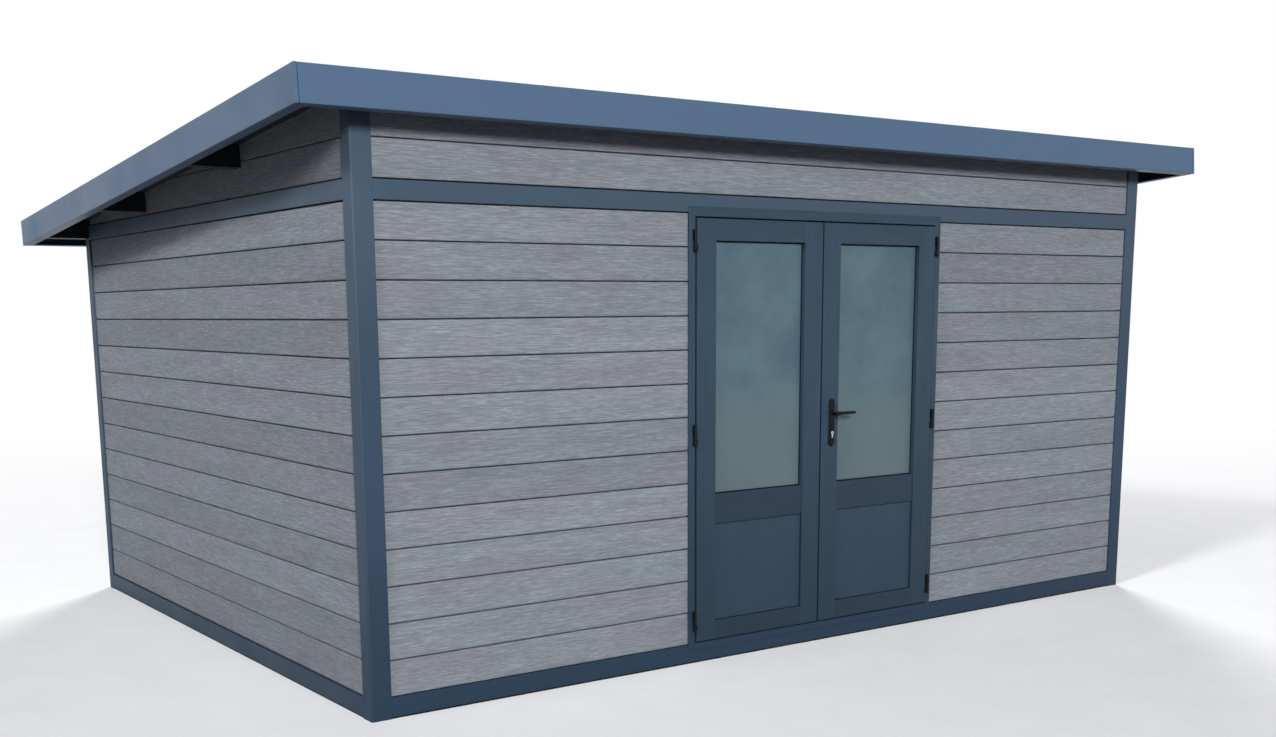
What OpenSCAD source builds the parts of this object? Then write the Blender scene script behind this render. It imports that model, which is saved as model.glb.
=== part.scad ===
// Garden shed with a single-slope roof: composite cladding boards between metal
// corner posts and rails, a glazed double door in the front wall, and a boxed
// roof that overhangs on all four sides.  Millimetres, +Z up, the front faces -Y.
// The origin is on the ground, under the middle of the roof.

/* [Body] */
// Width over the corner posts
body_w = 4800; // [3600:50:6600]
// Depth over the corner posts
body_d = 3600; // [2800:50:4800]
// Height of one cladding board as laid
board_h = 150; // [110:1:190]
// Boards between the base rail and the mid rail
board_rows = 13; // [12:1:15]
// Thickness of the cladding boards
board_t = 28; // [18:1:36]
// Distance of the boards behind the outer face of posts and rails
board_recess = 10; // [4:1:20]

/* [Frame] */
// Height of the base rail
base_rail_h = 88; // [72:1:120]
// Height of the mid rail
mid_rail_h = 76; // [50:1:110]
// Depth of the rails, from their outer face to the room
rail_depth = 50; // [44:1:70]
// Corner post, seen from the front
post_w = 90; // [72:1:130]
// Corner post, seen from the side
post_d = 77; // [60:1:110]
// Radius of the outer corner of a post
post_r = 6; // [2:1:15]

/* [Floor] */
// Thickness of the floor deck
deck_t = 25; // [18:1:40]
// Width of one floor bearer
bearer_w = 50; // [40:1:80]
// Number of floor bearers
bearers = 9; // [4:1:12]

/* [Roof] */
// Fall of the roof from front to back, in degrees
pitch = 4.63; // [2:0.01:9]
// Overhang in front of the front wall, at the fascia's lower edge
over_front = 166; // [120:1:320]
// Overhang behind the back wall, at the fascia's lower edge
over_back = 296; // [160:1:420]
// Overhang at each side
over_side = 275; // [160:1:420]
// Height of a purlin
purlin_h = 98; // [70:1:150]
// Width of a purlin
purlin_w = 50; // [40:1:80]
// Distance from the front wall to the middle of the front purlin
purlin_front = 1155; // [800:5:1300]
// Distance from the middle of the back purlin to the back wall
purlin_back = 1095; // [1000:5:1300]
// Thickness of the roof panel
roof_t = 36; // [25:1:60]
// Thickness of the folded fascia
fascia_t = 4; // [3:0.5:8]
// Width of the fascia's lower return
lip_w = 50; // [30:1:80]

/* [Doorway] */
// Width over the door frame
frame_w = 1600; // [1300:10:2000]
// Distance of the frame's face in front of the posts
frame_proud = 4; // [2:1:20]
// Overlap of the frame's face on the boards and rails around it
frame_lap = 25; // [12:1:30]
// Width of the frame's face at the sides
jamb_face = 37; // [34:1:70]
// Distance from the base rail up to the top of the threshold
sill_h = 7; // [5:1:20]
// Distance from the mid rail down to the underside of the frame's head
head_drop = 18; // [12:1:40]
// Depth of the stop behind the leaves
stop_t = 17; // [10:1:25]
// Overlap of the stop behind a leaf
stop_lap = 13; // [8:1:20]
// Distance between the leaves' back faces and the stop
stop_gap = 6; // [5:0.5:10]

/* [Door leaves] */
// Gap between a leaf and the frame
leaf_gap = 7; // [5:0.5:10]
// Gap between the two leaves
meeting_gap = 10; // [9:0.5:16]
// Distance of the leaves' faces in front of the frame's face
leaf_proud = 6; // [0:1:8]
// Thickness of a leaf
leaf_t = 42; // [34:1:56]
// Width of the leaves' upright members
stile_w = 108; // [90:1:140]
// Height of the leaves' top member
top_h = 95; // [70:1:140]
// Height of the leaves' bottom member
bottom_h = 88; // [70:1:160]
// Height of the member between the panel and the glass
middle_h = 137; // [80:1:180]
// Height of the lower panel's opening
panel_open_h = 454; // [250:1:700]
// Thickness of the glass
glass_t = 8; // [4:1:12]
// Depth of the glass behind the leaf's face
glass_recess = 25; // [10:1:25]
// Thickness of the lower panel
panel_t = 18; // [10:1:26]
// Depth of the lower panel behind the leaf's face
panel_recess = 11; // [3:1:14]
// Depth of the groove that holds the glass and the panel
groove = 12; // [6:1:25]

/* [Hinges] */
// Height of a hinge
hinge_h = 100; // [80:1:140]
// Radius of the hinge barrel
barrel_r = 8; // [7:0.5:11]
// Radius of the hinge pin
pin_r = 4; // [3:0.5:5]
// Running clearance around a pin, on the radius
pin_clear = 0.05; // [0.03:0.01:0.1]
// Clearance between parts that turn face to face
face_clear = 0.3; // [0.2:0.05:0.6]
// Distance of the hinge axis from the inner edge of the frame's face
axis_inset = 8; // [6:1:18]
// Distance of the hinge axis in front of the frame's face
axis_proud = 10; // [10:0.5:14]
// Height of the hinge arm that reaches the leaf
arm_h = 26; // [18:1:36]
// Thickness of the hinge arm and of its plate in the gap
arm_t = 5; // [3:0.5:6]
// Thickness of the plate on the leaf's edge
plate_edge_t = 2; // [1:0.5:3]
// Distance from a leaf's end to the middle of the hinge near it
hinge_end = 97; // [80:1:200]

/* [Handle] */
// Height of the lever's spindle above the ground
lever_z = 1118; // [1000:1:1200]
// Distance from the spindle down to the lock cylinder
lock_drop = 94; // [70:1:100]
// Distance of the spindle and the lock from the leaf's edge
handle_backset = 64; // [50:1:80]
// Height of the handle plate
handle_h = 228; // [190:1:260]
// Distance from the spindle up to the top of the plate
handle_up = 69; // [40:1:100]
// Width of the handle plate
handle_w = 36; // [26:1:44]
// Thickness of the handle plate
handle_t = 8; // [6:1:12]
// Length of the lever from its spindle
lever_len = 118; // [90:1:140]
// Height of the lever at its root
lever_root_h = 22; // [18:1:26]
// Height of the lever at its tip
lever_tip_h = 14; // [10:1:18]
// Thickness of the lever
lever_t = 12; // [8:1:16]
// Distance of the lever's inner side from the plate
lever_stand = 34; // [28:1:45]
// Radius of the lever's neck
neck_r = 9; // [7:1:12]
// Radius of the spindle
spindle_r = 5; // [4:0.5:6]
// Radius of the lock cylinder's barrel
lock_r = 8.5; // [7:0.5:10]
// Distance the lock cylinder stands in front of its plate
lock_proud = 3; // [1:0.5:5]

/* [Hidden] */
$fn = 64;

powder_blue = [0.33, 0.40, 0.48];
powder_door = [0.25, 0.33, 0.41];
board_grey = [0.58, 0.60, 0.63];
glass_grey = [0.42, 0.50, 0.53];
deck_grey = [0.42, 0.42, 0.42];
timber = [0.68, 0.58, 0.44];
hardware_black = [0.08, 0.08, 0.09];
lock_steel = [0.75, 0.76, 0.78];

// Heights of the wall
mid_z = base_rail_h + board_rows * board_h;
mid_top = mid_z + mid_rail_h;

// The roof plane: local X along the eaves, Y down the fall, Z square to the roof
fascia_h = 2 * fascia_t + purlin_h + roof_t;
roof_z = mid_z + body_d * tan(pitch);
beam_w0 = fascia_t;
beam_w1 = fascia_t + purlin_h;
u0 = -over_side;
u1 = body_w + over_side;
v0 = -over_front / cos(pitch);
v1 = (body_d + over_back) / cos(pitch);
eaves_v = body_d / cos(pitch) - purlin_w;
purlin_v = [for (y = [purlin_front, body_d - purlin_back]) y / cos(pitch) - purlin_w / 2];
front_y = -(body_d + over_back - over_front + fascia_h * sin(pitch)) / 2;
tall = roof_z + 400;

// Doorway
frame_x0 = (body_w - frame_w) / 2;
frame_x1 = frame_x0 + frame_w;
hole_x0 = frame_x0 + frame_lap;
hole_x1 = frame_x1 - frame_lap;
face_y = -frame_proud;
sill_z = base_rail_h + sill_h;
head_z = mid_z - head_drop;
clear_x0 = frame_x0 + jamb_face;
clear_x1 = frame_x1 - jamb_face;
leaf_y = face_y - leaf_proud;
leaf_back_y = leaf_y + leaf_t;
stop_y = leaf_back_y + stop_gap;
frame_back_y = max(rail_depth, stop_y + stop_t);

// Leaves
meeting_x = (frame_x0 + frame_x1) / 2;
leaf_x = [clear_x0 + leaf_gap, meeting_x + meeting_gap / 2];
leaf_w = [meeting_x - meeting_gap / 2 - leaf_x[0], clear_x1 - leaf_gap - leaf_x[1]];
leaf_z0 = sill_z + leaf_gap;
leaf_z1 = head_z - leaf_gap;
panel_z0 = leaf_z0 + bottom_h;
panel_z1 = panel_z0 + panel_open_h;
glass_z0 = panel_z1 + middle_h;
glass_z1 = leaf_z1 - top_h;

// Hinges
axis_x = [clear_x0 - axis_inset, clear_x1 + axis_inset];
axis_y = face_y - axis_proud;
hinge_z = [leaf_z0 + hinge_end, (leaf_z0 + leaf_z1) / 2, leaf_z1 - hinge_end];
collar_h = 5;

// Handle
handle_x = leaf_x[1] + handle_backset;
handle_z0 = lever_z + handle_up - handle_h;
lock_z = lever_z - lock_drop;

// Puts a sub-part drawn from the front left corner of the walls into place
module place() {
    translate([-body_w / 2, front_y, 0]) children();
}

// Turns a shape drawn on the roof plane into the fall of the roof
module on_roof() {
    translate([0, 0, roof_z]) rotate([-pitch, 0, 0]) children();
}

module block(x0, x1, y0, y1, z0, z1) {
    translate([x0, y0, z0]) cube([x1 - x0, y1 - y0, z1 - z0]);
}

// Everything on the lower side of a level of the roof plane
module below_roof(level) {
    on_roof() block(-body_w, 2 * body_w, -body_d, 2 * body_d, -2 * tall, level);
}

module eaves_shape() {
    on_roof() block(u0 + fascia_t, u1 - fascia_t, eaves_v, eaves_v + purlin_w, beam_w0, beam_w1);
}

module purlin_shapes() {
    for (v = purlin_v) {
        on_roof() block(u0 + fascia_t, u1 - fascia_t, v, v + purlin_w, beam_w0, beam_w1);
    }
}

// Base and mid rails
module rail_front(z0, z1) {
    block(post_w, body_w - post_w, 0, rail_depth, z0, z1);
}

module rail_left(z0, z1) {
    block(0, rail_depth, post_d, body_d - post_d, z0, z1);
}

module mirror_x() {
    translate([body_w, 0, 0]) mirror([1, 0, 0]) children();
}

module base_rail_front() {
    color(powder_blue) place() rail_front(0, base_rail_h);
}

module base_rail_back() {
    color(powder_blue) place() translate([0, body_d - rail_depth, 0]) rail_front(0, base_rail_h);
}

module base_rail_left() {
    color(powder_blue) place() rail_left(0, base_rail_h);
}

module base_rail_right() {
    color(powder_blue) place() mirror_x() rail_left(0, base_rail_h);
}

module mid_rail_front() {
    color(powder_blue) place() rail_front(mid_z, mid_top);
}

module mid_rail_left() {
    color(powder_blue) place() rail_left(mid_z, mid_top);
}

module mid_rail_right() {
    color(powder_blue) place() mirror_x() rail_left(mid_z, mid_top);
}

// Floor
module floor_deck() {
    color(deck_grey) place() difference() {
        block(rail_depth, body_w - rail_depth, rail_depth, body_d - rail_depth,
            base_rail_h - deck_t, base_rail_h);
        for (x = [0, body_w - post_w], y = [0, body_d - post_d]) {
            block(x, x + post_w, y, y + post_d, 0, tall);
        }
    }
}

module floor_bearers() {
    clear_w = body_w - 2 * post_w - bearer_w;
    color(timber) place() for (k = [0 : bearers - 1]) {
        x = post_w + k * clear_w / (bearers - 1);
        block(x, x + bearer_w, rail_depth, body_d - rail_depth, 0, base_rail_h - deck_t);
    }
}

// Corner posts, with one rounded outer corner, cut to the roof
module post_outline() {
    translate([post_r, 0]) square([post_w - post_r, post_d]);
    translate([0, post_r]) square([post_w, post_d - post_r]);
    translate([post_r, post_r]) circle(post_r);
}

module post_shape() {
    intersection() {
        linear_extrude(tall) post_outline();
        below_roof(beam_w1);
    }
}

module post_shape_back() {
    difference() {
        intersection() {
            translate([0, body_d, 0]) mirror([0, 1, 0]) linear_extrude(tall) post_outline();
            below_roof(beam_w1);
        }
        eaves_shape();
        on_roof() block(0, post_w, eaves_v, eaves_v + post_d, beam_w0, beam_w1 + 1);
    }
}

module post_front_left() {
    color(powder_blue) place() post_shape();
}

module post_front_right() {
    color(powder_blue) place() mirror_x() post_shape();
}

module post_back_left() {
    color(powder_blue) place() post_shape_back();
}

module post_back_right() {
    color(powder_blue) place() mirror_x() post_shape_back();
}

// Walls of cladding boards
module boards_front(x0, x1, z0, z1) {
    block(x0, x1, board_recess, board_recess + board_t, z0, z1);
}

module wall_front_left() {
    color(board_grey) place() boards_front(post_w, hole_x0, base_rail_h, mid_z);
}

module wall_front_right() {
    color(board_grey) place() boards_front(hole_x1, body_w - post_w, base_rail_h, mid_z);
}

module wall_over_door() {
    color(board_grey) place() intersection() {
        boards_front(post_w, body_w - post_w, mid_top, tall);
        below_roof(beam_w1);
    }
}

module wall_back() {
    color(board_grey) place() intersection() {
        translate([0, body_d, 0]) mirror([0, 1, 0])
            boards_front(post_w, body_w - post_w, base_rail_h, tall);
        below_roof(beam_w0);
    }
}

module boards_left(z0, z1) {
    block(board_recess, board_recess + board_t, post_d, body_d - post_d, z0, z1);
}

module wall_left() {
    color(board_grey) place() boards_left(base_rail_h, mid_z);
}

module wall_right() {
    color(board_grey) place() mirror_x() boards_left(base_rail_h, mid_z);
}

// The tapering wall over a side's mid rail, notched over the purlins
module gable_shape() {
    difference() {
        intersection() {
            boards_left(mid_top, tall);
            below_roof(beam_w1);
        }
        purlin_shapes();
    }
}

module gable_left() {
    color(board_grey) place() gable_shape();
}

module gable_right() {
    color(board_grey) place() mirror_x() gable_shape();
}

// Roof
module eaves_beam() {
    color(powder_blue) place() eaves_shape();
}

module purlins() {
    color(powder_blue) place() purlin_shapes();
}

module roof_panel() {
    color(powder_blue) place() on_roof()
        block(u0 + fascia_t, u1 - fascia_t, v0 + fascia_t, v1 - fascia_t,
            beam_w1, beam_w1 + roof_t);
}

// One side of the fascia as a folded channel with mitred ends, from (0, 0) along X
module fascia_shape(length) {
    module strip(width, z0, thick) {
        translate([0, 0, z0]) linear_extrude(thick)
            polygon([[0, 0], [length, 0], [length - width, width], [width, width]]);
    }
    strip(fascia_t, 0, fascia_h);
    strip(lip_w, 0, fascia_t);
    strip(lip_w, fascia_h - fascia_t, fascia_t);
}

module fascia_front() {
    color(powder_blue) place() on_roof() translate([u0, v0, 0]) fascia_shape(u1 - u0);
}

module fascia_back() {
    color(powder_blue) place() on_roof() translate([u1, v1, 0]) rotate([0, 0, 180])
        fascia_shape(u1 - u0);
}

module fascia_left() {
    color(powder_blue) place() on_roof() translate([u0, v1, 0]) rotate([0, 0, -90])
        fascia_shape(v1 - v0);
}

module fascia_right() {
    color(powder_blue) place() on_roof() translate([u1, v0, 0]) rotate([0, 0, 90])
        fascia_shape(v1 - v0);
}

// Door frame
module jamb_shape() {
    lap = board_recess;
    block(frame_x0, clear_x0, face_y, 0, base_rail_h - frame_lap, mid_z + frame_lap);
    block(frame_x0, clear_x0, face_y, lap, base_rail_h, mid_z);
    block(hole_x0, clear_x0, face_y, frame_back_y, base_rail_h, mid_z);
    block(hole_x0, clear_x0 + leaf_gap + stop_lap, stop_y, frame_back_y, sill_z, head_z);
}

module door_jamb_left() {
    color(powder_door) place() jamb_shape();
}

module door_jamb_right() {
    color(powder_door) place() mirror_x() jamb_shape();
}

module door_head() {
    lip_z = head_z - leaf_gap - stop_lap;
    stop_x0 = clear_x0 + leaf_gap + stop_lap;
    stop_x1 = clear_x1 - leaf_gap - stop_lap;
    color(powder_door) place() {
        block(clear_x0, clear_x1, face_y, 0, head_z, mid_z + frame_lap);
        block(clear_x0, clear_x1, face_y, frame_back_y, head_z, mid_z);
        block(stop_x0, stop_x1, stop_y, frame_back_y, lip_z, mid_z);
    }
}

module door_threshold() {
    color(powder_door) place() {
        block(clear_x0, clear_x1, face_y, 0, base_rail_h - frame_lap, sill_z);
        block(clear_x0, clear_x1, face_y, frame_back_y, base_rail_h, sill_z);
    }
}

// Door leaves: k is 0 for the left leaf and 1 for the right one
module leaf_shape(k) {
    x0 = leaf_x[k];
    x1 = x0 + leaf_w[k];
    difference() {
        block(x0, x1, leaf_y, leaf_back_y, leaf_z0, leaf_z1);
        block(x0 + stile_w, x1 - stile_w, leaf_y - 1, leaf_back_y + 1, panel_z0, panel_z1);
        block(x0 + stile_w, x1 - stile_w, leaf_y - 1, leaf_back_y + 1, glass_z0, glass_z1);
        glass_shape(k);
        panel_shape(k);
    }
}

module glass_shape(k) {
    y0 = leaf_y + glass_recess;
    block(leaf_x[k] + stile_w - groove, leaf_x[k] + leaf_w[k] - stile_w + groove,
        y0, y0 + glass_t, glass_z0 - groove, glass_z1 + groove);
}

module panel_shape(k) {
    y0 = leaf_y + panel_recess;
    block(leaf_x[k] + stile_w - groove, leaf_x[k] + leaf_w[k] - stile_w + groove,
        y0, y0 + panel_t, panel_z0 - groove, panel_z1 + groove);
}

module along_y(x, y0, y1, z, r) {
    translate([x, y0, z]) rotate([-90, 0, 0]) cylinder(r = r, h = y1 - y0);
}

module leaf_left() {
    color(powder_door) place() leaf_shape(0);
}

module leaf_right() {
    color(powder_door) place() difference() {
        leaf_shape(1);
        along_y(handle_x, leaf_y - 1, leaf_back_y + 1, lever_z, spindle_r + 1);
        along_y(handle_x, leaf_y - 1, leaf_back_y + 1, lock_z, lock_r);
    }
}

module glass_left() {
    color(glass_grey) place() glass_shape(0);
}

module glass_right() {
    color(glass_grey) place() glass_shape(1);
}

module panel_left() {
    color(powder_door) place() panel_shape(0);
}

module panel_right() {
    color(powder_door) place() panel_shape(1);
}

// Hinges, drawn for the left leaf
module hinge_frame_shape() {
    for (z = hinge_z) translate([axis_x[0], axis_y, z - hinge_h / 2]) {
        cylinder(r = barrel_r, h = collar_h);
        cylinder(r = pin_r, h = hinge_h / 2 + 1);
        translate([0, 0, hinge_h / 2]) cylinder(r = barrel_r, h = hinge_h / 2);
        block(-barrel_r, barrel_r, 0, axis_proud, hinge_h / 2 + 3, hinge_h - 3);
    }
}

module hinge_leaf_shape() {
    reach = axis_inset + leaf_gap;
    plate_end = axis_proud - leaf_proud + leaf_t - 6;
    z0 = collar_h + face_clear;
    z1 = hinge_h / 2 - face_clear;
    for (z = hinge_z) translate([axis_x[0], axis_y, z - hinge_h / 2]) difference() {
        union() {
            translate([0, 0, z0]) cylinder(r = barrel_r, h = z1 - z0);
            block(0, reach, -arm_t / 2, arm_t / 2, z0, z0 + arm_h);
            block(reach - plate_edge_t, reach, -arm_t / 2, plate_end, z0, z0 + arm_h);
        }
        cylinder(r = pin_r + pin_clear, h = hinge_h);
    }
}

module hinge_frame_left() {
    color(hardware_black) place() hinge_frame_shape();
}

module hinge_frame_right() {
    color(hardware_black) place() mirror_x() hinge_frame_shape();
}

module hinge_leaf_left() {
    color(hardware_black) place() hinge_leaf_shape();
}

module hinge_leaf_right() {
    color(hardware_black) place() mirror_x() hinge_leaf_shape();
}

// Handle: one plate each side of the leaf, a lever through both, and the lock
module plate_shape(y0) {
    r = handle_w / 2;
    difference() {
        union() {
            block(handle_x - r, handle_x + r, y0, y0 + handle_t,
                handle_z0 + r, handle_z0 + handle_h - r);
            along_y(handle_x, y0, y0 + handle_t, handle_z0 + r, r);
            along_y(handle_x, y0, y0 + handle_t, handle_z0 + handle_h - r, r);
        }
        along_y(handle_x, y0 - 1, y0 + handle_t + 1, lever_z, neck_r + pin_clear);
        along_y(handle_x, y0 - 1, y0 + handle_t + 1, lock_z, lock_r);
    }
}

module handle_plates() {
    color(hardware_black) place() {
        plate_shape(leaf_y - handle_t);
        plate_shape(leaf_back_y);
    }
}

// The grip in the XZ plane, from its root round the spindle to its tip
module grip_shape() {
    r = lever_tip_h / 2;
    rotate([90, 0, 0]) linear_extrude(lever_t) {
        circle(lever_root_h / 2);
        polygon([[0, -lever_root_h / 2], [lever_len - r, -r + 2], [lever_len - r, r + 2],
            [0, lever_root_h / 2]]);
        translate([lever_len - r, 2]) circle(r);
    }
}

module lever() {
    out_y = leaf_y - handle_t - lever_stand;
    in_y = leaf_back_y + handle_t + lever_stand;
    color(hardware_black) place() {
        along_y(handle_x, out_y - lever_t / 2, leaf_y - 0.5, lever_z, neck_r);
        along_y(handle_x, leaf_y - 1, leaf_back_y + 1, lever_z, spindle_r);
        along_y(handle_x, leaf_back_y + 0.5, in_y + lever_t / 2, lever_z, neck_r);
        translate([handle_x, out_y, lever_z]) grip_shape();
        translate([handle_x, in_y + lever_t, lever_z]) grip_shape();
    }
}

module lock_cylinder() {
    y0 = leaf_y - handle_t - lock_proud;
    y1 = leaf_back_y + handle_t + lock_proud;
    color(lock_steel) place() difference() {
        along_y(handle_x, y0, y1, lock_z, lock_r);
        block(handle_x - 0.8, handle_x + 0.8, y0 - 1, y0 + 6, lock_z - 5, lock_z + 5);
    }
}

base_rail_front();
base_rail_back();
base_rail_left();
base_rail_right();
floor_deck();
floor_bearers();
post_front_left();
post_front_right();
post_back_left();
post_back_right();
mid_rail_front();
mid_rail_left();
mid_rail_right();
wall_front_left();
wall_front_right();
wall_back();
wall_left();
wall_right();
wall_over_door();
gable_left();
gable_right();
eaves_beam();
purlins();
roof_panel();
fascia_front();
fascia_back();
fascia_left();
fascia_right();
door_jamb_left();
door_jamb_right();
door_head();
door_threshold();
leaf_left();
leaf_right();
glass_left();
glass_right();
panel_left();
panel_right();
hinge_frame_left();
hinge_frame_right();
hinge_leaf_left();
hinge_leaf_right();
handle_plates();
lever();
lock_cylinder();
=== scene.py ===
"""Looks of a garden shed: board cladding, coated frame, boxed roof and a glazed double door.

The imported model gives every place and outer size.  This script replaces its plain solids
with detailed meshes, gives each surface its finish, and sets the camera and studio light.
Lengths are metres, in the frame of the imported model: +X right, +Y to the back, +Z up.
"""

import logging
import math
import random
from collections.abc import Sequence
from dataclasses import dataclass, field
from enum import Enum

import bmesh
import bpy
from mathutils import Matrix, Vector


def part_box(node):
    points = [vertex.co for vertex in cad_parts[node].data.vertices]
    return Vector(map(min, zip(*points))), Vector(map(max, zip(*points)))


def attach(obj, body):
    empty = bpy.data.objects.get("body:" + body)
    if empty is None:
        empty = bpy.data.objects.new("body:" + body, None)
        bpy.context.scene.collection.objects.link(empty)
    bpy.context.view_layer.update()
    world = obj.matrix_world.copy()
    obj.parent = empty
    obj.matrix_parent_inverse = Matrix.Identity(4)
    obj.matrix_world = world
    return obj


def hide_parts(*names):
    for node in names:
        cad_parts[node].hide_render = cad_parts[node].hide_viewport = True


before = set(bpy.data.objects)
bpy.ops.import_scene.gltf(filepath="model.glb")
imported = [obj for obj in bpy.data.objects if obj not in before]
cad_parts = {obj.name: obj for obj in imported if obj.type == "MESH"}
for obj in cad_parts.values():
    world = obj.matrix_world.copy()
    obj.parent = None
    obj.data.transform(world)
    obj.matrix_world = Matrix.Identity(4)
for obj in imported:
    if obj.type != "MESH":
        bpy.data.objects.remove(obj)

LOG = logging.getLogger("garden_shed")
GRAIN_MAP = "Grain"
TONE_LAYER = "tone"
GRAIN_SHIFT = 50.0
SMOOTH_ANGLE = math.radians(38)


def mm(value: float) -> float:
    """Turns millimetres into metres."""
    return value / 1000.0


def srgb(code: str) -> tuple[float, float, float, float]:
    """Turns an sRGB hex value into a linear colour.

    Args:
        code: six hex digits after a hash sign.

    Returns:
        Linear red, green and blue, and an alpha of 1.
    """
    shares = [int(code[k:k + 2], 16) / 255 for k in (1, 3, 5)]
    linear = [s / 12.92 if s <= 0.04045 else ((s + 0.055) / 1.055) ** 2.4 for s in shares]
    return (linear[0], linear[1], linear[2], 1.0)


class Axis(Enum):
    """A direction of the row frame, by its place in a vector."""

    X = 0
    Y = 1
    Z = 2


class Body(Enum):
    """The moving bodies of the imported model."""

    SHED = "shed"
    LEFT_DOOR = "door_left"
    RIGHT_DOOR = "door_right"
    LEVER = "lever_handle"


class Side(Enum):
    """A wall of the shed: the axis across its thickness and the sign that leads indoors."""

    FRONT = (Axis.Y, 1)
    BACK = (Axis.Y, -1)
    LEFT = (Axis.X, 1)
    RIGHT = (Axis.X, -1)

    @property
    def along(self) -> Axis:
        """The axis that the wall runs along."""
        return Axis.X if self.value[0] is Axis.Y else Axis.Y


# ---------------------------------------------------------------- shader helpers


class Blend(Enum):
    """How a layer of colour meets what is under it."""

    COVER = "MIX"
    TINT = "MULTIPLY"


def add_node(tree: bpy.types.NodeTree, kind: str, sockets: dict | None = None,
             **settings: object) -> bpy.types.Node:
    """Adds one shader node.

    Args:
        tree: the node tree that gets the node.
        kind: Blender's name of the node type.
        sockets: inputs by name or place; an output socket is linked, a value is set.
        settings: the node's own properties.

    Returns:
        The new node.
    """
    made = tree.nodes.new(kind)
    for name, value in settings.items():
        setattr(made, name, value)
    for key, value in (sockets or {}).items():
        if isinstance(value, bpy.types.NodeSocket):
            tree.links.new(value, made.inputs[key])
        else:
            made.inputs[key].default_value = value
    return made


def layered(tree: bpy.types.NodeTree, ground: object,
            *layers: tuple[object, object, Blend]) -> bpy.types.NodeSocket:
    """Lays colours over a ground colour, one after another.

    Args:
        tree: the node tree.
        ground: the lowest colour, or its socket.
        layers: share, colour and kind of blend of each; share and colour may be sockets.

    Returns:
        The socket with the finished colour.
    """
    for share, colour, blend in layers:
        ground = add_node(tree, "ShaderNodeMix", {0: share, 6: ground, 7: colour},
                          data_type="RGBA", blend_type=blend.value).outputs[2]
    return ground


def surface(tree: bpy.types.NodeTree, colour: bpy.types.NodeSocket,
            worn: bpy.types.NodeSocket, rough: tuple[float, float],
            height: bpy.types.NodeSocket, relief: tuple[float, float]) -> dict[str, object]:
    """Makes the shader inputs that most finishes have.

    Args:
        tree: the node tree.
        colour: the colour.
        worn: value from 0 to 1 that moves the roughness.
        rough: the roughness where `worn` is 0 and where it is 1.
        height: height of the relief, from 0 to 1.
        relief: its real depth in metres and the share of it that shows.

    Returns:
        The inputs by name.
    """
    depth, strength = relief
    bump = add_node(tree, "ShaderNodeBump",
                    {"Strength": strength, "Distance": depth, "Height": height})
    ranged = add_node(tree, "ShaderNodeMapRange",
                      {"Value": worn, "To Min": rough[0], "To Max": rough[1]})
    return {"Base Color": colour, "Roughness": ranged.outputs[0], "Normal": bump.outputs[0]}


@dataclass(frozen=True)
class Streaks:
    """A noise pattern, stretched and cut to a value from 0 to 1.

    `size` is the length of one patch along each axis in metres, `low` and `high` are the
    noise values that become 0 and 1, and `waver` bends the streaks.
    """

    size: tuple[float, float, float]
    low: float = 0.3
    high: float = 0.7
    detail: float = 3.0
    waver: float = 0.0

    def draw(self, tree: bpy.types.NodeTree,
             source: bpy.types.NodeSocket) -> bpy.types.NodeSocket:
        """Adds the pattern's nodes.

        Args:
            tree: the node tree.
            source: coordinates in metres.

        Returns:
            The socket with the value.
        """
        scaled = add_node(tree, "ShaderNodeMapping",
                          {"Vector": source, "Scale": tuple(1 / s for s in self.size)})
        noise = add_node(tree, "ShaderNodeTexNoise",
                         {"Vector": scaled.outputs[0], "Scale": 1.0, "Detail": self.detail,
                          "Roughness": 0.6, "Distortion": self.waver})
        ramp = add_node(tree, "ShaderNodeMapRange",
                        {"Value": noise.outputs["Fac"], "From Min": self.low,
                         "From Max": self.high})
        return ramp.outputs[0]


@dataclass(frozen=True)
class Rise:
    """A value that grows with the height, from 0 at `start` to `most` at `end`."""

    start: float
    end: float
    most: float

    def draw(self, tree: bpy.types.NodeTree,
             source: bpy.types.NodeSocket) -> bpy.types.NodeSocket:
        """Adds the nodes of the value.

        Args:
            tree: the node tree.
            source: coordinates in metres.

        Returns:
            The socket with the value.
        """
        height = add_node(tree, "ShaderNodeSeparateXYZ", {0: source}).outputs["Z"]
        grown = add_node(tree, "ShaderNodeMapRange",
                         {"Value": height, "From Min": self.start, "From Max": self.end,
                          "To Max": self.most}, interpolation_type="SMOOTHSTEP")
        return grown.outputs[0]


# ---------------------------------------------------------------- finishes


@dataclass(frozen=True)
class Finish:
    """A finish: the base of every material here."""

    name: str

    def material(self) -> bpy.types.Material:
        """Returns the finish's material, made on first use."""
        found = bpy.data.materials.get(self.name)
        if found:
            return found
        made = bpy.data.materials.new(self.name)
        made.use_nodes = True
        tree = made.node_tree
        tree.nodes.clear()
        shader = add_node(tree, "ShaderNodeBsdfPrincipled", self.wire(tree))
        add_node(tree, "ShaderNodeOutputMaterial", {"Surface": shader.outputs["BSDF"]})
        return made

    def wire(self, tree: bpy.types.NodeTree) -> dict[str, object]:
        """Adds the nodes that make this finish.

        Args:
            tree: the material's node tree.

        Returns:
            The shader's inputs by name: sockets to link and values to set.
        """
        raise NotImplementedError


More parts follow.
